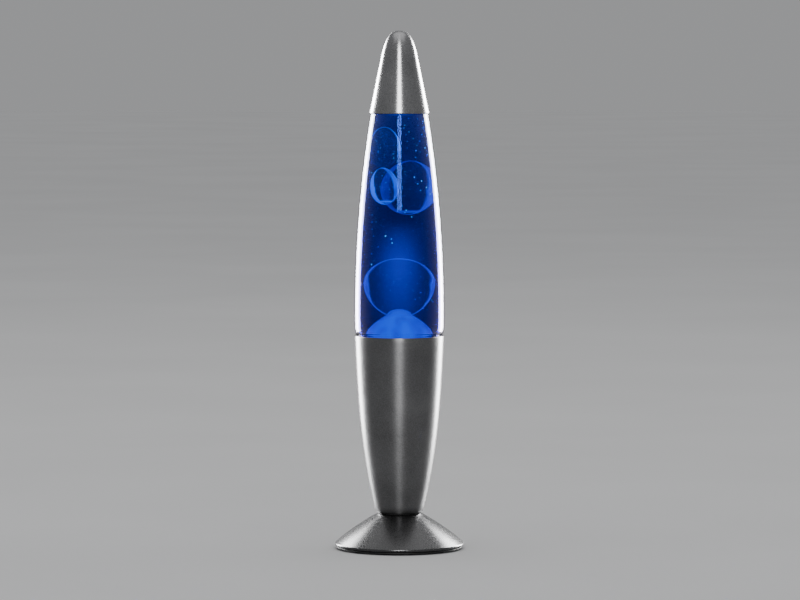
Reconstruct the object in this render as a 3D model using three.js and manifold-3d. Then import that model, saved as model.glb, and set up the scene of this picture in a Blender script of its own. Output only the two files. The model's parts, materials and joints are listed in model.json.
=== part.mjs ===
// Lava lamp: a spun aluminium foot and body, a glass bottle of dyed liquid and wax, and a
// spun aluminium cap, with its lampholder and reflector bulb inside. Millimetres, +Z up,
// origin at the middle of the resting plane, cord inlet towards +Y.

import * as THREE from 'three';
import { mergeVertices } from 'three/addons/utils/BufferGeometryUtils.js';
import Module from 'manifold-3d';

const wasm = await Module();
wasm.setup();

// ---- Driving dimensions -------------------------------------------------------------------

const touchGap = 0.3; // between two pieces that touch
const round = 32; // sides of the large turned pieces
const small = 16; // sides of the small turned pieces

// Foot
const footRadius = 42.5;
const footHeight = 23.4; // resting plane to the top of the foot
const footWall = 1.0;
const neckLand = 2.7; // flat land round the hole at the top of the foot
const hemRadius = 1.1;
const rimHeight = 2.1; // underside of the turned hem above the resting plane

// Body
const bodyHeight = 116.1;
const bodyFootLand = 3.7; // flat land round the hole in the body's floor
const bodyRimRadius = 29.45;
const bodyWall = 0.9;
const bodyFloor = 1.2;
const bodyChamfer = 0.7;
const neckWasherThickness = 0.5;
const neckWasherInset = 0.4; // of its edge from the edge of the foot's land

// Bottle
const bottleRadius = 29.9; // at its widest, just above the body
const bottleHeight = 145.7; // body rim to cap mouth
const glassWall = 2.4;
const bottleNeckRadius = 11.4;
const finishRadius = 13.2; // closure ring on the neck
const shoulderHeight = 7.7;
const bottleNeckHeight = 9.5;
const bottleFit = 0.45; // between the bottle and the inside of the body
const heelHeight = 6; // of the rounded edge at the bottle's bottom
const widestOverRim = 5.4; // from the body's rim up to the bottle's widest part
const finishHeight = 6.5; // closure ring, from its base to the lip
const puntDepth = 2.5; // how far the bottle's bottom is pushed up in the middle

// Cap
const capHeight = 53.7;
const capMouthRadius = 20.0;
const capDomeRadius = 11.7; // where the straight side turns into the dome
const capDomeHeight = 14.4;
const capWall = 0.6;
const capFit = 0.3; // between the cap's mouth and the bottle

// Contents of the bottle
const waxLevel = 16; // wall contact of the wax above the bottle's bottom
const moundHeight = 46; // top of the rising wax above the bottle's bottom
const moundTipRadius = 6.5;
const liquidLevel = 2.2; // above the cap mouth
const coilWire = 1.6;
const coilTurns = 2.5;
const coilRadius = 18.5;
const coilRoom = 0.7; // round the coil in the wax
const blobClearance = 0.6;
const ventRadius = 1.2; // of the thin way from a blob's room up to the liquid's surface
const ventShare = 0.6; // how far out it stands, as a share of the blob's place

// Lampholder
const sleeveRadius = 11.9;
const holeRoom = 0.4; // round the sleeve in the holes of the foot and the body
const sleeveTop = 50;
const socketBore = 8.0;
const socketShellRadius = 7.65;
const socketShellWall = 0.4;
const holderCupWall = 1.1;
const cupFloor = 2;
const cupDepth = 6.7; // from the cup's underside to the lower end of the sleeve
const chamberWall = 2.4; // of the sleeve, round the terminals
const socketFloor = 24.2; // top of the sleeve's cross wall
const socketFloorThickness = 2.7;
const socketShellStart = 3; // from the cross wall to the threaded contact shell
const socketShellInset = 4; // from the contact shell to the sleeve's mouth
const terminalSize = [4, 6, 4.5];
const terminalPlace = 5; // of each terminal from the middle
const terminalCover = 1.2; // metal left over the end of its screw
const screwRadius = 1.1;
const screwHeadRadius = 1.8;
const screwHeadHeight = 1.2;
const tongueThickness = 0.4;
const tongueWidth = 4;
const plateWebTop = 8.0; // top of the base plate's raised middle
const threadRadius = 4.85; // threaded stem tube
const stemBore = 3.6;
const nutAcrossFlats = 14;
const nutThickness = 2.8;
const locknutThickness = 2.3;
const washerThickness = 1;
const washerLand = 2; // from the nut's flats out to the washer's edge
const ringNutHeight = 4;

// Reflector bulb
const bulbContactHeight = 27; // underside of its centre contact
const bulbLength = 67;
const bulbRadius = 19.5;
const bulbNeckRadius = 6.2;
const bulbGlassWall = 0.7;
const bulbFaceHeight = 12; // of its domed face over its widest part
const bulbShellLength = 22.5; // from the contact's underside to the top of the screw shell
const contactHeight = 1;
const insulatorHeight = 2.7;
const filamentDepth = 20; // under the top of the face
const filamentSpan = 12;
const bulbShellRadius = 6.9;
const bulbShellWall = 0.4;
const bulbRise = 12.7; // how far it climbs as it is unscrewed
const bulbHeadroom = 1.3; // left under the bottle when it is fully unscrewed

// Base plate and pads
const plateThickness = 1.6;
const padRadius = 4.5;
const padStand = 0.8; // how far a pad stands out of the plate
const padSunk = 0.3; // how far it is let into the plate
const padCircle = 34.5;
const padCount = 4;
const slotCount = 12;
const slotWidth = 2.6;
const slotLength = 11;
const slotLand = 2.5; // between the recess wall and the slots
const spannerRoom = 4; // round the nut in the base plate's recess
const cordBore = 2.6;
const bushRadius = 3.8;
const bushFlange = 1.0; // how far its inner flange stands out round it
const bushLength = 14;
const bushOverHem = 0.5; // from the hem up to the underside of the bush
const bushRound = 0.8; // at its outer end
const bushInset = 4; // from the foot's edge to the end of the cord bush

// ---- Heights and radii that follow from them ----------------------------------------------

const washerBase = footHeight + touchGap;
const bodyBase = washerBase + neckWasherThickness + touchGap;
const bodyRim = bodyBase + bodyHeight;
const capMouth = bodyRim + bottleHeight;
const capTop = capMouth + capHeight;
const bottleMouthRadius = capMouthRadius - capWall - capFit;
const bulbTop = bulbContactHeight + bulbLength;
const bottleBase = bulbTop + bulbRise + bulbHeadroom;
const bodyHole = sleeveRadius + holeRoom;
const neckRadius = bodyHole + neckLand;
const bodyFootRadius = bodyHole + bodyFootLand;

// ---- Shape helpers ------------------------------------------------------------------------

// Points of a cubic curve from one (radius, height) to another. The two handles are given
// as shares of the span across and of the span up, counted from the first end.
function bulge(from, to, firstHandle, secondHandle, steps) {
  const spanAcross = to[0] - from[0];
  const spanUp = to[1] - from[1];
  const handle = ([across, up]) => new THREE.Vector2(
    from[0] + across * spanAcross,
    from[1] + up * spanUp,
  );
  const curve = new THREE.CubicBezierCurve(
    new THREE.Vector2(...from),
    handle(firstHandle),
    handle(secondHandle),
    new THREE.Vector2(...to),
  );
  return curve.getPoints(steps).map((point) => [point.x, point.y]);
}

// The same open line moved sideways, to the left of its direction when distance is positive.
function offset(line, distance) {
  return line.map(([r, z], i) => {
    const before = line[Math.max(i - 1, 0)];
    const after = line[Math.min(i + 1, line.length - 1)];
    const first = new THREE.Vector2(r - before[0], z - before[1]).normalize();
    const second = new THREE.Vector2(after[0] - r, after[1] - z).normalize();
    const along = first.add(second).normalize();
    const moved = [r - along.y * distance, z + along.x * distance];
    return r === 0 ? [0, moved[1]] : moved;
  });
}

// The radius of a line at a height, on a line whose heights only rise.
function radiusAt(line, height) {
  const i = Math.max(1, line.findIndex(([, z]) => z >= height));
  const [r0, z0] = line[i - 1];
  const [r1, z1] = line[i];
  return r0 + (r1 - r0) * (height - z0) / (z1 - z0);
}

// The stretch of a rising line between two heights.
function between(line, low, high) {
  const inside = line.filter(([, z]) => z > low && z < high);
  return [[radiusAt(line, low), low], ...inside, [radiusAt(line, high), high]];
}

// A closed (radius, height) outline turned about the Z axis.
function turned(outline, sides = round) {
  const points = outline.map(([r, z]) => new THREE.Vector2(Math.max(r, 0), z));
  if (THREE.ShapeUtils.area(points) < 0) points.reverse();
  const startsOnAxis = points[0].x === 0 && points[points.length - 1].x === 0;
  if (!startsOnAxis) points.push(points[0].clone());
  return new THREE.LatheGeometry(points, sides).rotateX(Math.PI / 2);
}

// A ring of rectangular section.
function ring(inner, outer, low, high, sides = small) {
  return turned([[inner, low], [outer, low], [outer, high], [inner, high]], sides);
}

// A solid round bar along Z.
function disc(radius, low, high, sides = small) {
  return turned([[0, low], [radius, low], [radius, high], [0, high]], sides);
}

// A wire of round section along a 3D curve.
function wire(curve, thickness, steps, sides = 6) {
  const section = new THREE.Shape();
  for (let i = 0; i < sides; i += 1) {
    const angle = (i / sides) * 2 * Math.PI;
    const x = Math.cos(angle) * thickness / 2;
    const y = Math.sin(angle) * thickness / 2;
    if (i === 0) section.moveTo(x, y);
    else section.lineTo(x, y);
  }
  section.closePath();
  return new THREE.ExtrudeGeometry(section, { steps, extrudePath: curve });
}

// A hexagon nut with a round hole.
function hexNut(acrossFlats, hole, low, high) {
  const corner = acrossFlats / Math.sqrt(3);
  const shape = new THREE.Shape();
  for (let i = 0; i < 6; i += 1) {
    const angle = (i / 6) * 2 * Math.PI;
    const x = corner * Math.cos(angle);
    const y = corner * Math.sin(angle);
    if (i === 0) shape.moveTo(x, y);
    else shape.lineTo(x, y);
  }
  shape.closePath();
  shape.holes.push(new THREE.Path().absarc(0, 0, hole, 0, 2 * Math.PI, true));
  const geometry = new THREE.ExtrudeGeometry(shape, {
    depth: high - low, bevelEnabled: false, curveSegments: small / 2,
  });
  return geometry.translate(0, 0, low);
}

// An (x, z) outline given a width along Y, centred on the XZ plane.
function plateAlongY(outline, width) {
  const shape = new THREE.Shape(outline.map(([x, z]) => new THREE.Vector2(x, z)));
  const geometry = new THREE.ExtrudeGeometry(shape, { depth: width, bevelEnabled: false });
  return geometry.translate(0, 0, -width / 2).rotateX(Math.PI / 2);
}

// The geometry with shared vertices merged and collapsed triangles left out.
function closed(geometry) {
  const bare = geometry.index ? geometry.toNonIndexed() : geometry.clone();
  bare.deleteAttribute('normal');
  bare.deleteAttribute('uv');
  const merged = mergeVertices(bare, 1e-4);
  const corners = merged.index.array;
  const kept = [];
  for (let i = 0; i < corners.length; i += 3) {
    const [a, b, c] = [corners[i], corners[i + 1], corners[i + 2]];
    if (a !== b && b !== c && c !== a) kept.push(a, b, c);
  }
  merged.setIndex(kept);
  return merged;
}

function toSolid(geometry) {
  const merged = closed(geometry);
  return new wasm.Manifold(new wasm.Mesh({
    numProp: 3,
    vertProperties: new Float32Array(merged.attributes.position.array),
    triVerts: new Uint32Array(merged.index.array),
  }));
}

// The first geometry with the others cut out of it.
function cut(geometry, ...tools) {
  let solid = toSolid(geometry);
  for (const tool of tools) solid = solid.subtract(toSolid(tool));
  const mesh = solid.getMesh();
  const result = new THREE.BufferGeometry();
  result.setAttribute('position', new THREE.BufferAttribute(mesh.vertProperties, 3));
  result.setIndex(new THREE.BufferAttribute(mesh.triVerts, 1));
  return result;
}

// ---- Materials ----------------------------------------------------------------------------

const material = (color, roughness, metalness = 0) => () => (
  new THREE.MeshStandardMaterial({ color, roughness, metalness })
);
const spunAluminium = material(0xa6a8ab, 0.35, 1);
const zincSteel = material(0xb4b6b2, 0.4, 1);
const brass = material(0xc9a24d, 0.3, 1);
const tungsten = material(0x5a5a5e, 0.5, 1);
const clearGlass = material(0xdfeaf5, 0.05);
const blueLiquid = material(0x000a60, 0.1);
const blueWax = material(0x0064ff, 0.4);
const blackPlastic = material(0x141416, 0.5);
const whiteLiner = material(0xe6e6e0, 0.6);
const rubber = material(0x1b1b1c, 0.8);

const lamp = new THREE.Group();
const groups = {};

// Adds a geometry as a named mesh to one of the lamp's groups.
function piece(groupName, name, geometry, makeMaterial) {
  if (!groups[groupName]) {
    groups[groupName] = new THREE.Group();
    lamp.add(groups[groupName]);
  }
  const mesh = new THREE.Mesh(closed(geometry), makeMaterial());
  mesh.name = name;
  groups[groupName].add(mesh);
}

// ---- Foot ---------------------------------------------------------------------------------

const coneSide = bulge(
  [neckRadius, footHeight],
  [footRadius - hemRadius, rimHeight + 2 * hemRadius],
  [0.36, 0.30],
  [0.70, 0.62],
  4,
);
const coneInside = offset(coneSide, -footWall);
const bushHeight = rimHeight + 2 * hemRadius + bushRadius + bushOverHem;
const bushEnd = footRadius - bushInset;

// A round bar along Y through the rear of the foot, from one distance to another.
function rearBar(radius, near, far) {
  return disc(radius, 0, far - near, small).rotateX(-Math.PI / 2)
    .translate(0, near, bushHeight);
}

// Half turns at which the hem's round outside is drawn, from its top to its underside.
const hemTurns = [0.35, 0.1, -0.15, -0.5];

function footShell() {
  const hemCentre = [footRadius - hemRadius, rimHeight + hemRadius];
  const hemRoll = hemTurns.map((turn) => [
    hemCentre[0] + hemRadius * Math.cos(turn * Math.PI),
    hemCentre[1] + hemRadius * Math.sin(turn * Math.PI),
  ]);
  const hemInner = footRadius - 2 * hemRadius;
  const outline = [
    [bodyHole, footHeight],
    ...coneSide.slice(0, -1),
    ...hemRoll,
    [hemInner, rimHeight],
    [hemInner, rimHeight + hemRadius],
    ...coneInside.filter(([r, z]) => r < hemInner && z < footHeight - footWall).reverse(),
    [radiusAt([...coneInside].reverse(), footHeight - footWall), footHeight - footWall],
    [bodyHole, footHeight - footWall],
  ];
  return cut(turned(outline), rearBar(bushRadius + touchGap, footRadius / 2, footRadius));
}

function basePlate() {
  const underside = padStand;
  const recess = nutAcrossFlats / 2 + spannerRoom;
  const fitRadius = footRadius - 2 * hemRadius - touchGap;
  const webBase = plateWebTop - plateThickness;
  const flangeTop = rimHeight - touchGap;
  const outline = [
    [threadRadius + touchGap, webBase],
    [recess, webBase],
    [recess, underside],
    [footRadius - hemRadius, underside],
    [footRadius - hemRadius, flangeTop],
    [fitRadius, flangeTop],
    [fitRadius, rimHeight + hemRadius],
    [fitRadius - plateThickness, rimHeight + hemRadius],
    [fitRadius - plateThickness, underside + plateThickness],
    [recess + plateThickness, underside + plateThickness],
    [recess + plateThickness, plateWebTop],
    [threadRadius + touchGap, plateWebTop],
  ];
  const slotStart = recess + plateThickness + slotLand;
  const slots = Array.from({ length: slotCount }, (_, i) => (
    new THREE.BoxGeometry(slotLength, slotWidth, 4 * plateThickness)
      .translate(slotStart + slotLength / 2, 0, underside)
      .rotateZ((i / slotCount) * 2 * Math.PI)
  ));
  const pockets = padPlaces().map(([x, y]) => (
    disc(padRadius + touchGap, 0, underside + padSunk + touchGap).translate(x, y, 0)
  ));
  return cut(turned(outline), ...slots, ...pockets);
}

function padPlaces() {
  return Array.from({ length: padCount }, (_, i) => {
    const angle = ((i + 0.5) / padCount) * 2 * Math.PI;
    return [padCircle * Math.cos(angle), padCircle * Math.sin(angle)];
  });
}

function cordBush() {
  const flangeEnd = bushEnd - bushLength;
  const outline = [
    [cordBore, flangeEnd - bushFlange],
    [bushRadius + bushFlange, flangeEnd - bushFlange],
    [bushRadius + bushFlange, flangeEnd],
    [bushRadius, flangeEnd],
    [bushRadius, bushEnd - bushRound],
    [bushRadius - bushRound, bushEnd],
    [cordBore, bushEnd],
  ];
  return turned(outline, small).rotateX(-Math.PI / 2).translate(0, 0, bushHeight);
}

piece('foot', 'foot_shell', footShell(), spunAluminium);
piece('foot', 'base_plate', basePlate(), blackPlastic);
padPlaces().forEach(([x, y], i) => {
  const pad = disc(padRadius, 0, padStand + padSunk).translate(x, y, 0);
  piece('foot', `pad_${i + 1}`, pad, rubber);
});
piece('foot', 'cord_bush', cordBush(), blackPlastic);
piece(
  'foot',
  'neck_washer',
  ring(bodyHole, neckRadius - neckWasherInset, washerBase, washerBase + neckWasherThickness, round),
  blackPlastic,
);

// ---- Body ---------------------------------------------------------------------------------

const bodySide = bulge(
  [bodyFootRadius, bodyBase + bodyChamfer],
  [bodyRimRadius, bodyRim],
  [0.715, 0.353],
  [0.859, 0.616],
  8,
);
const bodyInside = offset(bodySide, bodyWall);

function bodyShell() {
  const floorTop = bodyBase + bodyFloor;
  const outline = [
    [bodyHole, bodyBase],
    [bodyFootRadius - bodyChamfer, bodyBase],
    ...bodySide,
    ...between(bodyInside, floorTop, bodyRim).reverse(),
    [bodyHole, floorTop],
  ];
  return turned(outline);
}

piece('foot', 'body_shell', bodyShell(), spunAluminium);

// ---- Lampholder ---------------------------------------------------------------------------

const cupBase = plateWebTop + touchGap;
const cupTop = footHeight - footWall - touchGap;
const sleeveBase = cupBase + cupDepth;
const chamberRadius = sleeveRadius - chamberWall;

function holderCup() {
  const inner = sleeveRadius + touchGap;
  const outer = inner + holderCupWall;
  return turned([
    [threadRadius + touchGap, cupBase],
    [outer, cupBase],
    [outer, cupTop],
    [inner, cupTop],
    [inner, cupBase + cupFloor],
    [threadRadius + touchGap, cupBase + cupFloor],
  ], round);
}

function holderSleeve() {
  const chamberTop = socketFloor - socketFloorThickness;
  return turned([
    [0, chamberTop],
    [chamberRadius, chamberTop],
    [chamberRadius, sleeveBase],
    [sleeveRadius, sleeveBase],
    [sleeveRadius, sleeveTop],
    [socketBore, sleeveTop],
    [socketBore, socketFloor],
    [0, socketFloor],
  ], round);
}

function clampRing() {
  const low = bodyBase + bodyFloor + touchGap;
  const outer = radiusAt(bodyInside, low) - touchGap;
  const notch = new THREE.BoxGeometry(3, 2, ringNutHeight);
  const notches = Array.from({ length: 8 }, (_, i) => (
    notch.clone().translate(outer, 0, low + ringNutHeight).rotateZ((i / 8) * 2 * Math.PI)
  ));
  return cut(ring(sleeveRadius + touchGap, outer, low, low + ringNutHeight, round), ...notches);
}

// The bent spring strip under the bulb's centre contact.
function socketTongue() {
  const low = socketFloor + touchGap;
  const peak = bulbContactHeight - touchGap - tongueThickness;
  const line = [
    [6.5, low],
    [3.2, low],
    [0.8, peak],
    [-0.8, peak],
    [-3, low + 0.9],
  ];
  const upper = offset(line, -tongueThickness);
  return plateAlongY([...line, ...upper.reverse()], tongueWidth);
}

function terminal(side) {
  const [width, depth, height] = terminalSize;
  const top = socketFloor - socketFloorThickness - touchGap;
  const block = new THREE.BoxGeometry(width, depth, height)
    .translate(side * terminalPlace, 0, top - height / 2);
  const hole = disc(screwRadius + touchGap, top - 2 * height, top - terminalCover)
    .translate(side * terminalPlace, 0, 0);
  return cut(block, hole);
}

function terminalScrew(side) {
  const blockBase = socketFloor - socketFloorThickness - touchGap - terminalSize[2];
  const headTop = blockBase - touchGap;
  const tip = blockBase + terminalSize[2] - terminalCover - touchGap;
  const outline = [
    [0, headTop - screwHeadHeight],
    [screwHeadRadius, headTop - screwHeadHeight],
    [screwHeadRadius, headTop],
    [screwRadius, headTop],
    [screwRadius, tip],
    [0, tip],
  ];
  return turned(outline, 12).translate(side * terminalPlace, 0, 0);
}

const webBase = plateWebTop - plateThickness;
const washerTop = webBase - touchGap;
const nutTop = washerTop - washerThickness - touchGap;
const locknutBase = cupBase + cupFloor + touchGap;
piece('foot', 'holder_cup', holderCup(), blackPlastic);
piece('foot', 'holder_sleeve', holderSleeve(), blackPlastic);
piece('foot', 'clamp_ring', clampRing(), blackPlastic);
piece(
  'foot',
  'stem_tube',
  ring(stemBore, threadRadius, nutTop - nutThickness, locknutBase + nutThickness),
  zincSteel,
);
piece(
  'foot',
  'stem_locknut',
  hexNut(nutAcrossFlats, threadRadius + touchGap, locknutBase, locknutBase + locknutThickness),
  zincSteel,
);
piece(
  'foot',
  'base_washer',
  ring(threadRadius + touchGap, nutAcrossFlats / 2 + washerLand, washerTop - washerThickness, washerTop),
  zincSteel,
);
piece(
  'foot',
  'base_nut',
  hexNut(nutAcrossFlats, threadRadius + touchGap, nutTop - nutThickness, nutTop),
  zincSteel,
);
piece(
  'foot',
  'socket_shell',
  ring(socketShellRadius - socketShellWall, socketShellRadius, socketFloor + socketShellStart, sleeveTop - socketShellInset),
  brass,
);
piece('foot', 'socket_tongue', socketTongue(), brass);
piece('foot', 'terminal_live', terminal(1), brass);
piece('foot', 'terminal_neutral', terminal(-1), brass);
piece('foot', 'terminal_screw_live', terminalScrew(1), zincSteel);
piece('foot', 'terminal_screw_neutral', terminalScrew(-1), zincSteel);

// ---- Reflector bulb -----------------------------------------------------------------------

const insulatorBase = bulbContactHeight + contactHeight + touchGap;
const insulatorTop = insulatorBase + insulatorHeight;
const bulbShellBase = insulatorTop + touchGap;
const bulbShellTop = bulbContactHeight + bulbShellLength;
const bulbShoulder = bulbShellTop + 1;
const bulbWidest = bulbTop - bulbFaceHeight;
const stemFlareBase = bulbShellBase + 2;
const filamentHeight = bulbTop - filamentDepth;

function bulbEnvelope() {
  const neckBase = stemFlareBase + 2;
  const outside = [
    [bulbNeckRadius, neckBase],
    ...bulge(
      [bulbNeckRadius, bulbShoulder],
      [bulbRadius, bulbWidest],
      [0.15, 0.12],
      [1.0, 0.45],
      6,
    ),
    ...bulge([bulbRadius, bulbWidest], [0, bulbTop], [0, 0.45], [0.4, 1], 4).slice(1),
  ];
  return turned([...outside, ...offset(outside, bulbGlassWall).reverse()], 24);
}

function bulbStem() {
  const flare = bulbNeckRadius - bulbGlassWall - touchGap;
  const top = bulbShoulder + 8;
  return turned([
    [0, stemFlareBase],
    [flare, stemFlareBase],
    [flare, stemFlareBase + 0.8],
    [2, stemFlareBase + 4],
    [2, top],
    [0, top],
  ], 12);
}

// A support wire from the stem's top out to one end of the filament.
function bulbLead(side) {
  const low = bulbShoulder + 8 + touchGap;
  const path = new THREE.CatmullRomCurve3([
    new THREE.Vector3(side * 1.2, 0, low),
    new THREE.Vector3(side * 2, 0, low + 3),
    new THREE.Vector3(side * (filamentSpan / 2 + 0.5), 0, filamentHeight - 3),
    new THREE.Vector3(side * (filamentSpan / 2 + 0.8), 0, filamentHeight + 1),
  ]);
  return wire(path, 0.6, 8);
}

function bulbFilament() {
  const half = filamentSpan / 2;
  const path = new THREE.QuadraticBezierCurve3(
    new THREE.Vector3(-half, 0, filamentHeight),
    new THREE.Vector3(0, 5, filamentHeight + 1.5),
    new THREE.Vector3(half, 0, filamentHeight),
  );
  return wire(path, 0.6, 10);
}

piece(
  'bulb',
  'bulb_contact',
  turned([
    [0, bulbContactHeight],
    [1.4, bulbContactHeight],
    [2.4, bulbContactHeight + 0.5],
    [2.4, bulbContactHeight + contactHeight],
    [0, bulbContactHeight + contactHeight],
  ]),
  zincSteel,
);
piece(
  'bulb',
  'bulb_insulator',
  turned([
    [0, insulatorBase],
    [3.2, insulatorBase],
    [bulbShellRadius - 0.5, insulatorTop - 0.8],
    [bulbShellRadius - 0.5, insulatorTop],
    [0, insulatorTop],
  ], small),
  blackPlastic,
);
piece(
  'bulb',
  'bulb_screw_shell',
  ring(bulbShellRadius - bulbShellWall, bulbShellRadius, bulbShellBase, bulbShellTop),
  zincSteel,
);
piece('bulb', 'bulb_envelope', bulbEnvelope(), clearGlass);
piece('bulb', 'bulb_stem', bulbStem(), clearGlass);
piece('bulb', 'bulb_lead_left', bulbLead(-1), zincSteel);
piece('bulb', 'bulb_lead_right', bulbLead(1), zincSteel);
piece('bulb', 'bulb_filament', bulbFilament(), tungsten);

// ---- Bottle -------------------------------------------------------------------------------

const seatHeight = bodyRim + touchGap;
const heelTop = bottleBase + heelHeight;
const heelRadius = radiusAt(bodyInside, heelTop) - bottleFit;
const seatRadius = radiusAt(bodyInside, bodyRim - 0.2) - bottleFit;
const widestHeight = bodyRim + widestOverRim;
const neckBase = capMouth + shoulderHeight;
const lipHeight = neckBase + bottleNeckHeight;

const puntSteps = 3;
const bottleOutside = [
  ...bulge([0, bottleBase + puntDepth], [heelRadius - 5, bottleBase], [0.5, 0], [0.8, 1], puntSteps),
  ...bulge([heelRadius - 4, bottleBase], [heelRadius, heelTop], [0.6, 0], [1, 0.4], 2),
  ...bulge([seatRadius, seatHeight], [bottleRadius, widestHeight], [0.6, 0.1], [0.85, 0.5], 3),
  ...bulge(
    [bottleRadius, widestHeight],
    [bottleMouthRadius, capMouth],
    [-0.076, 0.371],
    [0.406, 0.732],
    8,
  ).slice(1),
  ...bulge(
    [bottleMouthRadius, capMouth],
    [bottleNeckRadius, neckBase],
    [0.1, 0.35],
    [1, 0.5],
    4,
  ).slice(1),
];
const wallInside = offset(bottleOutside, glassWall);
const cavity = offset(bottleOutside, glassWall + touchGap);

function glassBottle() {
  const bore = bottleNeckRadius - glassWall;
  const finishBase = lipHeight - finishHeight;
  return turned([
    ...bottleOutside,
    [bottleNeckRadius, finishBase],
    [finishRadius, finishBase + 1],
    [finishRadius, lipHeight - 1.5],
    [finishRadius - 1.5, lipHeight],
    [bore, lipHeight],
    ...[...wallInside].reverse(),
  ]);
}

const contentsSide = cavity.slice(puntSteps + 1); // from the heel up, where it only rises
const contactHeightOfWax = bottleBase + glassWall + waxLevel;
const moundTop = bottleBase + moundHeight;
const moundSide = bulge(
  [radiusAt(contentsSide, contactHeightOfWax), contactHeightOfWax],
  [moundTipRadius, moundTop],
  [0.14, 0.35],
  [0.58, 0.80],
  8,
);
const liquidTop = capMouth + liquidLevel;

const coilPitch = coilWire + touchGap;
const coilLow = bottleBase + glassWall + touchGap + puntDepth * 0.4 + coilWire / 2;
const coilTop = coilLow + coilTurns * coilPitch + coilWire / 2;

function waxMound() {
  const floor = cavity.filter(([, z]) => z < contactHeightOfWax);
  const groove = ring(
    coilRadius - coilWire / 2 - coilRoom,
    coilRadius + coilWire / 2 + coilRoom,
    bottleBase,
    coilTop + coilRoom,
    round,
  );
  return cut(turned([...floor, ...moundSide, [0, moundTop]]), groove);
}

// A helix of wire lying on the bottle's bottom.
class CoilPath extends THREE.Curve {
  getPoint(t, target = new THREE.Vector3()) {
    const angle = t * coilTurns * 2 * Math.PI;
    return target.set(
      coilRadius * Math.cos(angle),
      coilRadius * Math.sin(angle),
      coilLow + t * coilTurns * coilPitch,
    );
  }
}

// Each blob of wax: its place round and out from the middle, its radius and its half height,
// and how far it sinks and rises. Shares are of the bottle's inside radius at its height.
const blobs = [
  {
    name: 'wax_blob_low', height: 65, turn: 0, outShare: 0, radiusShare: 0.66,
    halfHeight: 18, sinks: 0, rises: 14,
  },
  {
    name: 'wax_blob_right', height: 128.5, turn: 60, outShare: 0.39, radiusShare: 0.57,
    halfHeight: 17.5, sinks: 8, rises: 5,
  },
  {
    name: 'wax_blob_left', height: 130.5, turn: -131, outShare: 0.59, radiusShare: 0.37,
    halfHeight: 12, sinks: 8, rises: 0,
  },
  {
    name: 'wax_blob_top', height: 155.5, turn: -155, outShare: 0.49, radiusShare: 0.47,
    halfHeight: 13, sinks: 0, rises: 5,
  },
];

function placeOfBlob(blob) {
  const centre = bottleBase + blob.height;
  const highest = centre + blob.rises + blob.halfHeight / 3;
  const inside = radiusAt(contentsSide, Math.min(highest, liquidTop));
  const turn = THREE.MathUtils.degToRad(blob.turn);
  return {
    x: inside * blob.outShare * Math.cos(turn),
    y: inside * blob.outShare * Math.sin(turn),
    z: centre,
    radius: inside * blob.radiusShare,
  };
}

// Half an ellipse from the axis at the bottom to the axis at the top, with its middle drawn
// out to the given lower and upper heights.
function drawnOut(radius, halfHeight, low, high, steps) {
  const lower = [];
  const upper = [];
  for (let i = 0; i <= steps; i += 1) {
    const angle = (i / steps) * (Math.PI / 2);
    lower.push([radius * Math.sin(angle), low - halfHeight * Math.cos(angle)]);
    upper.push([radius * Math.cos(angle), high + halfHeight * Math.sin(angle)]);
  }
  upper[steps][0] = 0;
  return high > low ? [...lower, ...upper] : [...lower, ...upper.slice(1)];
}

function waxBlob(blob) {
  const { x, y, z, radius } = placeOfBlob(blob);
  return turned(drawnOut(radius, blob.halfHeight, z, z, 4), 16).translate(x, y, 0);
}

// The room that a blob moves in, with a thin way up to the liquid's surface.
function roomOfBlob(blob) {
  const { x, y, z, radius } = placeOfBlob(blob);
  const outline = drawnOut(
    radius + blobClearance,
    blob.halfHeight + blobClearance,
    z - blob.sinks,
    z + blob.rises,
    4,
  );
  return turned(outline, 16).translate(x, y, 0);
}

function liquid() {
  const surface = [[0, liquidTop], ...between(contentsSide, contactHeightOfWax, liquidTop).reverse()];
  const overWax = offset(moundSide, -touchGap).slice(1);
  const body = turned([...surface, ...overWax, [0, moundTop + touchGap]]);
  const shafts = blobs.map((blob) => {
    const { x, y, z } = placeOfBlob(blob);
    return disc(ventRadius, z, liquidTop + 1, 6).translate(x * ventShare, y * ventShare, 0);
  });
  return cut(body, ...shafts, ...blobs.map(roomOfBlob));
}

function crownCap() {
  const wall = 0.35;
  const top = lipHeight + 0.7 + 2 * touchGap + wall;
  const skirtLow = lipHeight - 4.2;
  const inner = finishRadius + touchGap;
  return turned([
    [0, top - wall],
    [inner - 0.8, top - wall],
    [inner, lipHeight - 1],
    [inner + 0.3, skirtLow],
    [inner + 0.3 + wall, skirtLow],
    [inner + wall, lipHeight - 1],
    [inner - 0.6, top],
    [0, top],
  ], round);
}

piece('bottle', 'glass_bottle', glassBottle(), clearGlass);
piece('bottle', 'crown_liner', disc(12.2, lipHeight + touchGap, lipHeight + touchGap + 0.7), whiteLiner);
piece('bottle', 'crown_cap', crownCap(), zincSteel);
piece('bottle', 'wax_mound', waxMound(), blueWax);
piece('bottle', 'wire_coil', wire(new CoilPath(), coilWire, 40), zincSteel);
for (const blob of blobs) piece('bottle', blob.name, waxBlob(blob), blueWax);
piece('bottle', 'liquid', liquid(), blueLiquid);

// ---- Cap ----------------------------------------------------------------------------------

function topCap() {
  const domeBase = capTop - capDomeHeight;
  const outside = [
    ...bulge([capMouthRadius, capMouth], [capDomeRadius, domeBase], [0.325, 0.323], [0.663, 0.679], 4),
    ...bulge([capDomeRadius, domeBase], [0, capTop], [0.214, 0.757], [0.53, 1], 5).slice(1),
  ];
  return turned([...outside, ...offset(outside, capWall).reverse()]);
}

piece('cap', 'top_cap', topCap(), spunAluminium);

export default lamp;
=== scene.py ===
"""Lava lamp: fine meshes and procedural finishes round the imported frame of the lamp."""

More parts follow.
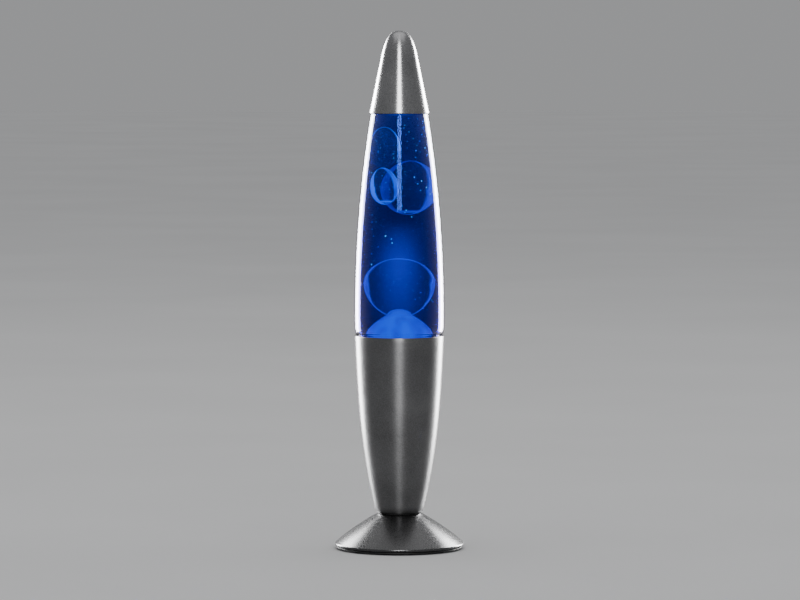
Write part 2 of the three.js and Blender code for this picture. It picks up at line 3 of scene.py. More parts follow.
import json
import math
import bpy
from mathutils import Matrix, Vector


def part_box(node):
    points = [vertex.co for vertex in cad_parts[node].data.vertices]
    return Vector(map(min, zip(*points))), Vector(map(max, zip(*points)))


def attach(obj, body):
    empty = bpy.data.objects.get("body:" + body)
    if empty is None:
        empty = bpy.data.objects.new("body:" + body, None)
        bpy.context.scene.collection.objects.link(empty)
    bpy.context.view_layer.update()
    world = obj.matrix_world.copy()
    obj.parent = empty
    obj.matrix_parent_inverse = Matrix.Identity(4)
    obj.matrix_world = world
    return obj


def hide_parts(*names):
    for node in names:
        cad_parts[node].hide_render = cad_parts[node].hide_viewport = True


bl_info = {
    "name": "Lava Lamp",
    "version": (1, 0, 0),
    "blender": (4, 5, 0),
    "location": "View3D > Sidebar > Lava Lamp",
    "description": "Models a rocket-shaped lava lamp in its pieces, with its finishes and a stage",
    "category": "Add Mesh",
}

import bmesh
import bpy
from bpy.props import FloatProperty, FloatVectorProperty, IntProperty, PointerProperty
from mathutils import Vector

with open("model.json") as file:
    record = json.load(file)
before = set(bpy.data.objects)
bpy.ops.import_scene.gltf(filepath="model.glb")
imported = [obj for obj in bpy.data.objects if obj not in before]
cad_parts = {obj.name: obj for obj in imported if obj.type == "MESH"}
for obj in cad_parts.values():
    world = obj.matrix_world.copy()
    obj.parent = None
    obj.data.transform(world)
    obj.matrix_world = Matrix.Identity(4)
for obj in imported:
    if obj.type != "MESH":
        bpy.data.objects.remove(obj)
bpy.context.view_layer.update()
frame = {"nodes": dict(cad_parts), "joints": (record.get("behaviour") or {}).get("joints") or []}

MM = 0.001
TURN = 2 * math.pi
THREAD_PITCH = 2.822 * MM  # the small screw base's lead
THREAD_DEPTH = 0.36 * MM
BULB_CLEARANCE = 0.3 * MM  # between the bulb's thread and the holder's
FOOT_RADIUS = 42.5 * MM  # the turned rim; the frame's facets stand just inside it
HOLDER_FIT = 0.4 * MM  # round the lampholder's sleeve where it passes through the sheet
GLINT = (0.04, 0.12, 0.60, 1)  # tint of the reflections on the glass and the liquid
BODY_FOOT = 16.0 * MM  # the body's radius where it meets the foot
FOOT_NECK = 15.0 * MM
STEM_HOLE = 5.15 * MM  # passes the stem tube freely
LYING = (math.radians(90), 0, 0)  # turns an upright cylinder to lie from front to back
RISING = 12  # points of the bottle's outline before it only rises
WAX_BLOBS = ("wax_blob_low", "wax_blob_right", "wax_blob_left", "wax_blob_top")
TRAVEL = {joint["child"]: joint.get("range_m") for joint in frame["joints"]}


def low(node):
    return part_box(node)[0]


def high(node):
    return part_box(node)[1]


# Heights and radii of the frame that several pieces share
FOOT_TOP = high("foot_shell").z
FOOT_RIM = low("foot_shell").z
BODY_BASE = low("body_shell").z
BODY_RIM = high("body_shell").z
BODY_RADIUS = high("body_shell").x
BOTTLE_BASE = low("glass_bottle").z
LIP_TOP = high("glass_bottle").z
CAP_MOUTH = low("top_cap").z
CAP_TOP = high("top_cap").z
CAP_RADIUS = high("top_cap").x
SLEEVE_RADIUS = high("holder_sleeve").x
BULB_TOP = high("bulb_envelope").z
BULB_THREAD_RADIUS = high("bulb_screw_shell").x - THREAD_DEPTH  # middle of the rolled wall


# ---- Settings -----------------------------------------------------------------------------


def length_of(name, description, default, least, most):
    """A length setting, given in millimetres."""
    return FloatProperty(
        name=name, description=description, subtype="DISTANCE", unit="LENGTH",
        default=default * MM, min=least * MM, max=most * MM,
    )


def colour_of(name, description, default):
    return FloatVectorProperty(
        name=name, description=description, subtype="COLOR", size=3, min=0, max=1,
        default=default,
    )


class MetalSettings(bpy.types.PropertyGroup):
    colour: colour_of("Aluminium", "Colour of the spun aluminium", (0.27, 0.27, 0.275))
    roughness: FloatProperty(
        name="Roughness", description="How blurred its reflections are",
        subtype="FACTOR", min=0, max=1, default=0.30,
    )
    anisotropy: FloatProperty(
        name="Turning", description="How far reflections are drawn along the lamp",
        subtype="FACTOR", min=0, max=1, default=0.8,
    )
    foot_wall: length_of("Foot wall", "Sheet thickness of the foot", 1.0, 0.3, 2)
    body_wall: length_of("Body wall", "Sheet thickness of the body", 0.9, 0.3, 2)
    cap_wall: length_of("Cap wall", "Sheet thickness of the cap", 0.6, 0.3, 1)
    hem: length_of("Hem", "Radius of the foot's turned hem", 1.1, 0.5, 2)


class BottleSettings(bpy.types.PropertyGroup):
    glass_colour: colour_of("Glass", "Tint of the bottle's glass", (0.97, 0.985, 1.0))
    wall: length_of("Glass wall", "Wall of the bottle", 2.4, 1, 4)
    liquid_colour: colour_of(
        "Liquid", "Colour that the dyed liquid lets through", (0.0, 0.12, 0.72),
    )
    liquid_depth: FloatProperty(
        name="Dye", description="Strength of the dye, per metre",
        default=130, min=0, max=500,
    )
    liquid_glow: FloatProperty(
        name="Liquid glow", description="Light of the bulb in the liquid over the lowest blob",
        default=0.42, min=0, max=5,
    )
    liquid_level: length_of("Level", "Surface of the liquid above the cap's mouth", 2.2, 0, 6)


class WaxSettings(bpy.types.PropertyGroup):
    colour: colour_of("Wax", "Colour of the lit wax", (0.0, 0.075, 1.0))
    glow: FloatProperty(
        name="Glow", description="Light that the wax passes on from the bulb under it",
        default=2.3, min=0, max=20,
    )
    bubbles: IntProperty(
        name="Bubbles", description="Fine bubbles and specks in the liquid",
        default=260, min=0, max=600,
    )


class FineSettings(bpy.types.PropertyGroup):
    large_steps: IntProperty(
        name="Large turns", description="Steps round the large turned pieces",
        default=112, min=24, max=256,
    )
    small_steps: IntProperty(
        name="Small turns", description="Steps round the small turned pieces",
        default=56, min=16, max=128,
    )
    slots: IntProperty(
        name="Air slots", description="Air slots in the base plate", default=12, min=0, max=24,
    )
    flutes: IntProperty(
        name="Flutes", description="Flutes in the crown closure's skirt",
        default=21, min=12, max=30,
    )


def settings():
    return bpy.context.scene.lava_lamp


class LavaLampSettings(bpy.types.PropertyGroup):
    metal: PointerProperty(type=MetalSettings, name="Metal")
    bottle: PointerProperty(type=BottleSettings, name="Bottle")
    wax: PointerProperty(type=WaxSettings, name="Wax")
    fine: PointerProperty(type=FineSettings, name="Fineness")


# ---- Outlines: (radius, height) points in metres ------------------------------------------


def bulge(start, end, first, second, steps):
    """A cubic curve; its handles are shares of the span across and of the span up."""
    spans = (end[0] - start[0], end[1] - start[1])
    a = [start[i] + first[i] * spans[i] for i in (0, 1)]
    b = [start[i] + second[i] * spans[i] for i in (0, 1)]
    points = []
    for step in range(steps + 1):
        t = step / steps
        u = 1 - t
        points.append(tuple(
            u**3 * start[i] + 3 * u * u * t * a[i] + 3 * u * t * t * b[i] + t**3 * end[i]
            for i in (0, 1)
        ))
    return points


def arc(centre, radius, start, end, steps):
    """A round stretch from one angle to another, in degrees from straight out."""
    points = []
    for step in range(steps + 1):
        angle = math.radians(start + (end - start) * step / steps)
        points.append((centre[0] + radius * math.cos(angle), centre[1] + radius * math.sin(angle)))
    return points


def offset(line, distance):
    """The line moved to the left of its direction; a point on the axis stays on it."""
    moved = []
    for i, (r, z) in enumerate(line):
        before = Vector(line[max(i - 1, 0)])
        after = Vector(line[min(i + 1, len(line) - 1)])
        here = Vector((r, z))
        along = ((here - before).normalized() + (after - here).normalized()).normalized()
        x = 0.0 if r == 0 else r - along.y * distance
        moved.append((x, z + along.x * distance))
    return moved


def radius_at(line, height):
    """The radius of a rising line at a height."""
    for (r0, z0), (r1, z1) in zip(line, line[1:]):
        if z1 >= height and z1 > z0:
            return r0 + (r1 - r0) * (height - z0) / (z1 - z0)
    return line[-1][0]


def between(line, bottom, top):
    inside = [point for point in line if bottom < point[1] < top]
    return [(radius_at(line, bottom), bottom), *inside, (radius_at(line, top), top)]


def tube(inner, outer, bottom, top, edge=0.0):
    """The closed outline of a ring, its edges broken by a small flat."""
    e = edge
    return [
        (inner + e, bottom), (outer - e, bottom), (outer, bottom + e), (outer, top - e),
        (outer - e, top), (inner + e, top), (inner, top - e), (inner, bottom + e),
        (inner + e, bottom),
    ]


def bar(radius, bottom, top, edge=0.0):
    """The outline of a solid round bar, from the axis to the axis."""
    return [
        (0, bottom), (radius - edge, bottom), (radius, bottom + edge),
        (radius, top - edge), (radius - edge, top), (0, top),
    ]


# ---- Making meshes ------------------------------------------------------------------------


def deselect():
    if bpy.context.mode != "OBJECT":
        bpy.ops.object.mode_set(mode="OBJECT")
    bpy.ops.object.select_all(action="DESELECT")


def only(piece):
    deselect()
    piece.select_set(True)
    bpy.context.view_layer.objects.active = piece


def spun(name, outline, steps=None, sharp=35, middle=(0.0, 0.0)):
    """Extrudes an outline point by point from one vertex and spins it about a vertical axis."""
    steps = steps or settings().fine.large_steps
    deselect()
    bpy.ops.mesh.primitive_plane_add(size=MM, location=(0, 0, 0))
    piece = bpy.context.object
    piece.name = piece.data.name = name
    bpy.ops.object.mode_set(mode="EDIT")
    bpy.ops.mesh.select_mode(type="VERT")
    bpy.ops.mesh.merge(type="CENTER")
    bpy.ops.transform.translate(value=(outline[0][0], 0, outline[0][1]))
    for before, after in zip(outline, outline[1:]):
        step = (after[0] - before[0], 0, after[1] - before[1])
        bpy.ops.mesh.extrude_vertices_move(TRANSFORM_OT_translate={"value": step})
    bpy.ops.mesh.select_all(action="SELECT")
    bpy.ops.mesh.spin(steps=steps, angle=TURN, center=(0, 0, 0), axis=(0, 0, 1))
    bpy.ops.mesh.select_all(action="SELECT")
    bpy.ops.mesh.remove_doubles(threshold=0.002 * MM)
    bpy.ops.mesh.dissolve_degenerate(threshold=0.001 * MM)
    bpy.ops.mesh.select_all(action="SELECT")
    bpy.ops.mesh.normals_make_consistent(inside=False)
    bpy.ops.transform.translate(value=(middle[0], middle[1], 0))
    bpy.ops.object.mode_set(mode="OBJECT")
    smooth(piece, sharp)
    return piece


def smooth(piece, sharp=35):
    only(piece)
    bpy.ops.object.shade_smooth_by_angle(angle=math.radians(sharp))


def settle(piece):
    """Moves the place and turn of a piece into its mesh."""
    only(piece)
    bpy.ops.object.transform_apply(location=True, rotation=True, scale=True)
    return piece


def combine(piece, other, operation):
    """Applies a Boolean modifier between a piece and another object, which is removed."""
    only(piece)
    modifier = piece.modifiers.new("Combine", "BOOLEAN")
    modifier.operation = operation
    modifier.solver = "EXACT"
    modifier.object = other
    bpy.ops.object.modifier_apply(modifier=modifier.name)
    bpy.data.objects.remove(other)


def cut(piece, *cutters):
    for cutter in cutters:
        combine(piece, cutter, "DIFFERENCE")


def joined(name, parts):
    deselect()
    for part in parts:
        part.select_set(True)
    bpy.context.view_layer.objects.active = parts[0]
    if len(parts) > 1:
        bpy.ops.object.join()
    piece = bpy.context.object
    piece.name = piece.data.name = name
    return piece


def cylinder(radius, depth, place, turn=(0, 0, 0), sides=48):
    deselect()
    bpy.ops.mesh.primitive_cylinder_add(
        vertices=sides, radius=radius, depth=depth, location=place, rotation=turn,
    )
    return settle(bpy.context.object)


def block(size, place, turn=(0, 0, 0), edge=0.0):
    """A box with rounded edges."""
    deselect()
    bpy.ops.mesh.primitive_cube_add(size=1, location=place, rotation=turn)
    piece = bpy.context.object
    piece.scale = size
    settle(piece)
    if edge:
        bevel(piece, edge, 2)
    return piece


def bevel(piece, width, segments=2):
    only(piece)
    modifier = piece.modifiers.new("Edge", "BEVEL")
    modifier.width = width
    modifier.segments = segments
    modifier.limit_method = "ANGLE"
    bpy.ops.object.modifier_apply(modifier=modifier.name)


def wire(name, points, thickness, closed=False, sides=3):
    """A round wire through a list of points, with closed ends."""
    deselect()
    curve = bpy.data.curves.new(name, "CURVE")
    curve.dimensions = "3D"
    curve.bevel_depth = thickness / 2
    curve.bevel_resolution = sides
    curve.use_fill_caps = True
    spline = curve.splines.new("POLY")
    spline.points.add(len(points) - 1)
    for point, place in zip(spline.points, points):
        point.co = (*place, 1)
    spline.use_cyclic_u = closed
    piece = bpy.data.objects.new(name, curve)
    bpy.context.scene.collection.objects.link(piece)
    only(piece)
    bpy.ops.object.convert(target="MESH")
    piece = bpy.context.object
    bpy.ops.object.mode_set(mode="EDIT")
    bpy.ops.mesh.select_all(action="SELECT")
    bpy.ops.mesh.remove_doubles(threshold=0.001 * MM)
    bpy.ops.mesh.normals_make_consistent(inside=False)
    bpy.ops.object.mode_set(mode="OBJECT")
    smooth(piece, 60)
    return piece


def hex_nut(name, node, hole):
    """A hexagon nut in the place of its frame node, with turned corners and a bore."""
    lowest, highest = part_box(node)
    thickness = highest.z - lowest.z
    middle = (0, 0, (lowest.z + highest.z) / 2)
    nut = cylinder(highest.x, thickness, middle, (0, 0, math.radians(30)), 6)
    corners = bar(highest.x * 0.995, lowest.z, highest.z, 0.6 * MM)
    combine(nut, spun("nut_corners", corners, 48), "INTERSECT")
    cut(nut, cylinder(hole, 3 * thickness, middle))
    nut.name = nut.data.name = name
    smooth(nut, 25)
    return nut


def swell(piece, growth):
    """Moves each vertex away from the axis by growth(radius, turn, height), in metres."""
    for vertex in piece.data.vertices:
        x, y, z = vertex.co
        radius = math.hypot(x, y)
        if radius > 0:
            grown = 1 + growth(radius, math.atan2(y, x), z) / radius
            vertex.co.x *= grown
            vertex.co.y *= grown


def groove(turn, height, pitch):
    """How far down a thread's groove a place is: 0 on the crest, 2 at the bottom."""
    return 1 - math.cos(TURN * height / pitch - turn)


def roll_thread(piece, depth, bottom, top, flare=0.0):
    """Moves a tube's walls in and out along a right-hand helix that fades at both ends, where
    a flare of 1 keeps the wall as wide as the crest, so that the other thread can enter."""
    fade = THREAD_PITCH * 0.6

    def growth(radius, turn, z):
        if not bottom <= z <= top:
            return 0.0
        share = min(1, (z - bottom) / fade, (top - z) / fade)
        wave = 1 - groove(turn, z, THREAD_PITCH)
        return depth * (share * wave + (1 - share) * flare)

    swell(piece, growth)


def rows(outline, bottom, top, spacing):
    """The outline with the steps along its upright stretches made no longer than spacing."""
    fine = [outline[0]]
    for before, after in zip(outline, outline[1:]):
        length = math.dist(before, after)
        inside = bottom <= min(before[1], after[1]) and max(before[1], after[1]) <= top
        parts = max(1, math.ceil(length / spacing)) if inside else 1
        for i in range(1, parts + 1):
            share = i / parts
            fine.append(tuple(before[k] + (after[k] - before[k]) * share for k in (0, 1)))
    return fine


FINISHES = {}  # name of a finish: (slot, material)


def added(piece, body, finish):
    """Gives a piece its material, and the body that it rides on."""
    slot, material = FINISHES[finish]
    piece.data.materials.clear()
    piece.data.materials.append(material)
    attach(piece, body)


def finished(piece, node, body, finish):
    """Adds a piece in the stead of its frame node."""
    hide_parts(node)
    added(piece, body, finish)


# ---- Materials ----------------------------------------------------------------------------


class Shader:
    """Short calls for building one material's nodes."""

    def __init__(self, name):
        self.material = bpy.data.materials.new(name)
        self.material.use_nodes = True
        self.nodes = self.material.node_tree.nodes
        self.links = self.material.node_tree.links
        self.skin = self.nodes["Principled BSDF"]
        self.output = self.nodes["Material Output"]
        self.place = self.node("ShaderNodeTexCoord").outputs["Object"]

    def node(self, kind, **values):
        made = self.nodes.new(kind)
        for key, value in values.items():
            if hasattr(made, key):
                setattr(made, key, value)
            else:
                made.inputs[key.replace("_", " ")].default_value = value
        return made

    def link(self, source, target):
        self.links.new(source, target)

    def set(self, **values):
        """Sets the skin's inputs to values."""
        for key, value in values.items():
            self.skin.inputs[key.replace("_", " ")].default_value = value

    def feed(self, **sources):
        """Links sources to the skin's inputs."""
        for key, source in sources.items():
            self.link(source, self.skin.inputs[key.replace("_", " ")])

    def noise(self, scale, detail=4, stretch=(1, 1, 1)):
        mapping = self.node("ShaderNodeMapping")
        mapping.inputs["Scale"].default_value = stretch
        self.link(self.place, mapping.inputs["Vector"])
        texture = self.node("ShaderNodeTexNoise", Scale=scale, Detail=detail)
        self.link(mapping.outputs["Vector"], texture.inputs["Vector"])
        return texture.outputs["Fac"]

    def ramp(self, source, *stops):
        """Maps a factor through (place, colour or grey) stops."""
        ramp = self.node("ShaderNodeValToRGB")
        elements = ramp.color_ramp.elements
        while len(elements) < len(stops):
            elements.new(0.5)
        for element, (place, value) in zip(elements, stops):
            element.position = place
            grey = isinstance(value, (int, float))
            element.color = (value, value, value, 1) if grey else (*value, 1)
        self.link(source, ramp.inputs["Fac"])
        return ramp.outputs["Color"]

    def span(self, source, from_low, from_high, to_low=0.0, to_high=1.0):
        span = self.node("ShaderNodeMapRange")
        for key, value in zip(
            ("From Min", "From Max", "To Min", "To Max"),
            (from_low, from_high, to_low, to_high),
        ):
            span.inputs[key].default_value = value
        self.link(source, span.inputs["Value"])
        return span.outputs["Result"]

    def calc(self, operation, first, second=0.0):
        node = self.node("ShaderNodeMath", operation=operation)
        for socket, value in zip(node.inputs, (first, second)):
            if isinstance(value, (int, float)):
                socket.default_value = value
            else:
                self.link(value, socket)
        return node.outputs[0]

    def part(self, vector, axis):
        split = self.node("ShaderNodeSeparateXYZ")
        self.link(vector, split.inputs[0])
        return split.outputs[axis]

    def height(self):
        return self.part(self.place, "Z")

    def clamped(self, source):
        clamp = self.node("ShaderNodeClamp")
        self.link(source, clamp.inputs["Value"])
        return clamp.outputs["Result"]

    def bump(self, source, distance, strength=1.0):
        bump = self.node("ShaderNodeBump", Strength=strength, Distance=distance)
        self.link(source, bump.inputs["Height"])
        self.feed(Normal=bump.outputs["Normal"])


def spun_metal(name, colour, roughness, anisotropy, grain=1.0):
    """Turned and fine-blasted sheet: rings along the axis, a fine speckle, soft blotches."""
    s = Shader(name)
    s.set(Metallic=1.0, Anisotropic=anisotropy, Anisotropic_Rotation=0.25)
    tangent = s.node("ShaderNodeTangent", direction_type="RADIAL", axis="Z")
    s.feed(Tangent=tangent.outputs["Tangent"])
    speckle = s.noise(1500, 3)
    rings = s.noise(900, 2, (0.02, 0.02, 1))
    blotches = s.noise(35, 3)
    tint = s.ramp(
        s.calc("ADD", s.calc("MULTIPLY", speckle, 0.5), s.calc("MULTIPLY", blotches, 0.5)),
        (0.36, tuple(c * 0.72 for c in colour)),
        (0.64, tuple(min(c * 1.28, 1) for c in colour)),
    )
    s.feed(Base_Color=tint)
    wear = s.calc("ADD", s.calc("MULTIPLY", speckle, 0.9), s.calc("MULTIPLY", rings, 0.1))
    s.feed(Roughness=s.span(wear, 0.25, 0.75, roughness - 0.04, roughness + 0.06))
    relief = s.calc("ADD", speckle, s.calc("MULTIPLY", rings, 0.12))
    s.bump(relief, 0.006 * MM * grain, 0.6)
    return s.material


def plated(name, colour, roughness, scale=1500):
    """Plated or drawn metal with a fine grain and a few dull patches."""
    s = Shader(name)
    s.set(Metallic=1.0)
    grain = s.noise(scale, 4)
    patches = s.noise(220, 3)
    tint = s.ramp(
        patches, (0.35, tuple(c * 0.72 for c in colour)), (0.65, colour),
    )
    s.feed(Base_Color=tint)
    s.feed(Roughness=s.span(patches, 0.3, 0.7, roughness + 0.12, roughness))
    s.bump(grain, 0.02 * MM, 0.4)
    return s.material


def moulded(name, colour, roughness, grain=2200):
    """Moulded plastic or rubber: a fine texture and slight unevenness in its sheen."""
    s = Shader(name)
    fine = s.noise(grain, 3)
    broad = s.noise(90, 2)
    tint = s.ramp(
        broad, (0.3, tuple(c * 0.8 for c in colour)), (0.7, tuple(c * 1.25 for c in colour)),
    )
    s.feed(Base_Color=tint)
    s.feed(Roughness=s.span(broad, 0.3, 0.7, roughness - 0.06, roughness + 0.06))
    s.bump(fine, 0.03 * MM, 0.5)
    return s.material


def bottle_glass():
    """Clear glass that takes the liquid's colour, more so near the body."""
    s = Shader("bottle_glass")
    s.set(
        Roughness=0.0, IOR=1.47, Transmission_Weight=1.0, Specular_IOR_Level=0.2,
        Specular_Tint=GLINT,
    )
    red, green, blue = settings().bottle.glass_colour
    tint = s.ramp(
        s.span(s.height(), BODY_RIM, CAP_MOUTH),
        (0.0, (red * 0.90, green * 0.80, blue)), (0.45, (red * 0.98, green * 0.92, blue)),
        (0.8, (red, green, blue)),
    )
    s.feed(Base_Color=tint)
    s.bump(s.noise(28, 2, (1, 1, 0.35)), 0.02 * MM, 0.35)
    return s.material


def dyed_liquid():
    """Clear dyed water, with the bulb's glow painted in it over the lowest blob and a painted
    glint under its surface.
    """
    s = Shader("dyed_liquid")
    bottle = settings().bottle
    s.set(
        Base_Color=(1, 1, 1, 1), Roughness=0.0, IOR=1.35, Transmission_Weight=1.0,
        Specular_IOR_Level=0.15, Specular_Tint=GLINT, Emission_Color=(0.0, 0.05, 0.95, 1),
    )
    height = s.height()
    blob_top = high("wax_blob_low").z
    # Painted glow of the bulb's light over the lowest blob, strongest face on
    rise = s.span(height, BODY_RIM, blob_top - 6 * MM)
    fall = s.span(height, blob_top, blob_top + 26 * MM, 1.0, 0.0)
    facing = s.node("ShaderNodeLayerWeight", Blend=0.5).outputs["Facing"]
    middle = s.calc("POWER", s.calc("SUBTRACT", 1.0, facing), 10.0)
    glow = s.calc("MULTIPLY", s.calc("MULTIPLY", rise, fall), middle)
    # Painted glint near the top of the liquid, from just under the cap's mouth up, seen face on
    meniscus_glint = s.calc("MULTIPLY", s.span(height, CAP_MOUTH - 1.6 * MM, CAP_MOUTH), 3.0)
    glow = s.calc("MAXIMUM", glow, s.calc("MULTIPLY", meniscus_glint, middle))
    s.feed(Emission_Strength=s.calc("MULTIPLY", glow, bottle.liquid_glow))
    dye = s.node("ShaderNodeVolumeAbsorption", Density=bottle.liquid_depth)
    dye.inputs["Color"].default_value = (*bottle.liquid_colour, 1)
    s.link(dye.outputs["Volume"], s.output.inputs["Volume"])
    return s.material


def wax_body(s, mottle):
    """The glow of lit wax. The dye takes out green before blue, so the wax is greener the
    more liquid lies in front of it."""
    wax = settings().wax
    squares = [
        s.calc("POWER", s.calc("ABSOLUTE", s.part(s.place, axis)), 2) for axis in "XY"
    ]
    reach = s.calc("SQRT", s.calc("ADD", *squares))
    wall = radius_at(bottle_side()[RISING:], BODY_RIM + 20 * MM) - settings().bottle.wall
    colour = tuple(wax.colour)
    deep, halfway = (0.0, min(colour[1] * 6, 1), 1.0), (0.0, colour[1] * 2.6, 1.0)
    tint = s.ramp(
        s.span(reach, 0.2 * wall, wall), (0.0, deep), (0.35, halfway), (1.0, colour),
    )
    shade = s.node("ShaderNodeVectorMath", operation="MULTIPLY")
    s.link(tint, shade.inputs[0])
    s.link(s.ramp(mottle, (0.38, (0.55, 0.5, 0.72)), (0.55, (1, 1, 1))), shade.inputs[1])
    glow = s.node("ShaderNodeEmission")
    s.link(shade.outputs["Vector"], glow.inputs["Color"])
    s.link(s.span(reach, 0.1 * wall, wall, wax.glow, wax.glow * 0.62), glow.inputs["Strength"])
    s.set(Roughness=0.5, IOR=1.4, Specular_IOR_Level=0.0, Base_Color=(0.0, 0.03, 0.20, 1))
    body = s.node("ShaderNodeAddShader")
    s.link(glow.outputs[0], body.inputs[0])
    s.link(s.skin.outputs[0], body.inputs[1])
    return body


def mound_wax():
    """Molten wax lit from below."""
    s = Shader("mound_wax")
    body = wax_body(s, s.noise(150, 4, (1, 1, 0.6)))
    s.link(body.outputs[0], s.output.inputs["Surface"])
    return s.material


def blob_wax(node, ring=None, lit_side=None, top_only=None):
    """Adds the finish of a clear drop with a painted glow where its skin is seen edge on: broadly
    where the skin stands upright, in a thin line where it lies flat, and solidly in its lowest
    part. It can have a painted bright ring at one height, a lit side where the painted glow is
    broader, and a height under which the rim fades."""
    s = Shader(f"{node}_skin")
    mottle = s.noise(120, 3)
    body = wax_body(s, mottle)
    facing = s.node("ShaderNodeLayerWeight", Blend=0.5).outputs["Facing"]
    geometry = s.node("ShaderNodeNewGeometry")
    normal = geometry.outputs["Normal"]
    upright = s.calc("SUBTRACT", 1.0, s.calc("ABSOLUTE", s.part(normal, "Z")))
    start = s.span(upright, 0.15, 1.0, 0.70, 0.42)
    start = s.calc("ADD", start, s.span(mottle, 0.3, 0.7, -0.06, 0.10))
    # Painted light: the rim glow is broadened on the side that the given vector points to, as if
    # lit from there
    if lit_side:
        lean = s.node("ShaderNodeVectorMath", operation="DOT_PRODUCT")
        s.link(normal, lean.inputs[0])
        lean.inputs[1].default_value = lit_side
        start = s.calc("SUBTRACT", start, lean.outputs["Value"])
    # Painted rim glow, strongest where the skin is seen edge on
    rim = s.calc("DIVIDE", s.calc("SUBTRACT", facing, start), 0.12)
    height = s.height()
    if top_only:
        fade = s.span(height, top_only - 6 * MM, top_only, 0.1, 1.0)
        rim = s.calc("MULTIPLY", s.clamped(rim), fade)
    base = low(node).z
    thick = s.calc(
        "MULTIPLY", s.span(height, base - 2 * MM, base, 1.3, 0.0),
        s.span(mottle, 0.35, 0.65, 0.3, 1.3),
    )
    # Small specks also take the painted glow
    specks = s.span(s.noise(1100, 2), 0.66, 0.72, 0.0, 0.6)
    shown = s.calc("MAXIMUM", s.calc("MAXIMUM", rim, thick), specks)
    # Painted bright ring at one height
    if ring:
        band = s.calc("DIVIDE", s.calc("ABSOLUTE", s.calc("SUBTRACT", height, ring)), 0.9 * MM)
        shown = s.calc("MAXIMUM", shown, s.calc("SUBTRACT", 1.0, band))
    see = s.node("ShaderNodeBsdfTransparent")
    see.inputs["Color"].default_value = (0.75, 0.80, 0.90, 1)
    mix = s.node("ShaderNodeMixShader")
    s.link(s.clamped(s.calc("MAXIMUM", shown, 0.02)), mix.inputs["Fac"])
    s.link(see.outputs[0], mix.inputs[1])
    s.link(body.outputs[0], mix.inputs[2])
    s.link(mix.outputs[0], s.output.inputs["Surface"])
    FINISHES[node] = ("blue_wax", s.material)


def bubble_skin():
    # Painted glint: the bubbles glow cyan though they give no light
    s = Shader("bubble_skin")
    s.set(
        Base_Color=(0.35, 0.62, 1.0, 1), Roughness=0.1, IOR=1.33,
        Emission_Color=(0.0, 0.45, 1.0, 1), Emission_Strength=1.6,
    )
    return s.material


def bulb_glass():
    """Clear at the neck, silvered on the cone, frosted on the face."""
    s = Shader("bulb_glass")
    height = s.height()
    widest = BULB_TOP - 12 * MM
    face = s.span(height, widest, widest + 1 * MM)
    silver = s.span(height, BULB_TOP - 44 * MM, BULB_TOP - 43 * MM)
    s.set(IOR=1.47)
    tint = s.ramp(face, (0.45, (0.62, 0.62, 0.63)), (0.55, (0.86, 0.85, 0.82)))
    s.feed(Base_Color=tint)
    s.feed(Metallic=s.calc("SUBTRACT", silver, face))
    s.feed(Roughness=s.calc("ADD", s.calc("MULTIPLY", face, 0.35), 0.12))
    s.bump(s.noise(1200, 3), 0.02 * MM, 0.4)
    return s.material


def stem_glass():
    s = Shader("stem_glass")
    s.set(Base_Color=(0.9, 0.95, 0.95, 1), Roughness=0.02, IOR=1.5, Transmission_Weight=1.0)
    s.bump(s.noise(300, 2), 0.03 * MM, 0.4)
    return s.material


def make_finishes():
    metal = settings().metal
    colour = tuple(metal.colour)
    blurred, turned = metal.roughness, metal.anisotropy
    # Painted shade: the body and foot take darker copies of the cap's aluminium, at half and three
    # tenths of its colour
    body, foot = (tuple(c * share for c in colour) for share in (0.50, 0.30))
    by_slot = {
        "spun_aluminium": {
            "cap": spun_metal("cap_aluminium", colour, blurred - 0.04, turned),
            "body": spun_metal("shaded_body_aluminium", body, blurred + 0.05, turned),
            "foot": spun_metal("shaded_foot_aluminium", foot, blurred - 0.03, 0.3),
        },
        "zinc_steel": {
            "zinc": plated("zinc_plate", (0.62, 0.62, 0.60), 0.30),
            "tin": plated("tinplate", (0.72, 0.71, 0.68), 0.22),
        },
        "brass": {"brass": plated("brass_sheet", (0.78, 0.57, 0.25), 0.26)},
        "tungsten": {"tungsten": plated("tungsten_wire", (0.30, 0.29, 0.28), 0.45)},
        "black_plastic": {
            "plastic": moulded("black_moulding", (0.014, 0.014, 0.015), 0.42),
            "washer": moulded("black_fibre", (0.010, 0.010, 0.011), 0.62),
            "vitrite": moulded("black_glass", (0.012, 0.010, 0.014), 0.15),
        },
        "rubber": {"rubber": moulded("black_rubber", (0.020, 0.020, 0.021), 0.78, 1600)},
        "white_liner": {"liner": moulded("white_liner", (0.60, 0.60, 0.56), 0.55)},
        "bulb_glass": {"bulb_glass": bulb_glass()},
        "clear_glass": {"bottle_glass": bottle_glass(), "stem": stem_glass()},
        "blue_liquid": {"liquid": dyed_liquid()},
        "blue_wax": {"mound": mound_wax(), "bubble": bubble_skin()},
    }
    for slot, finishes in by_slot.items():
        for name, material in finishes.items():
            FINISHES[name] = (slot, material)


# ---- Shared outlines of the lamp ----------------------------------------------------------


def body_side(steps=36):
    """Outside of the body from its foot to its rim."""
    foot = (BODY_FOOT, BODY_BASE + 0.7 * MM)
    return bulge(foot, (BODY_RADIUS, BODY_RIM), (0.715, 0.353), (0.859, 0.616), steps)


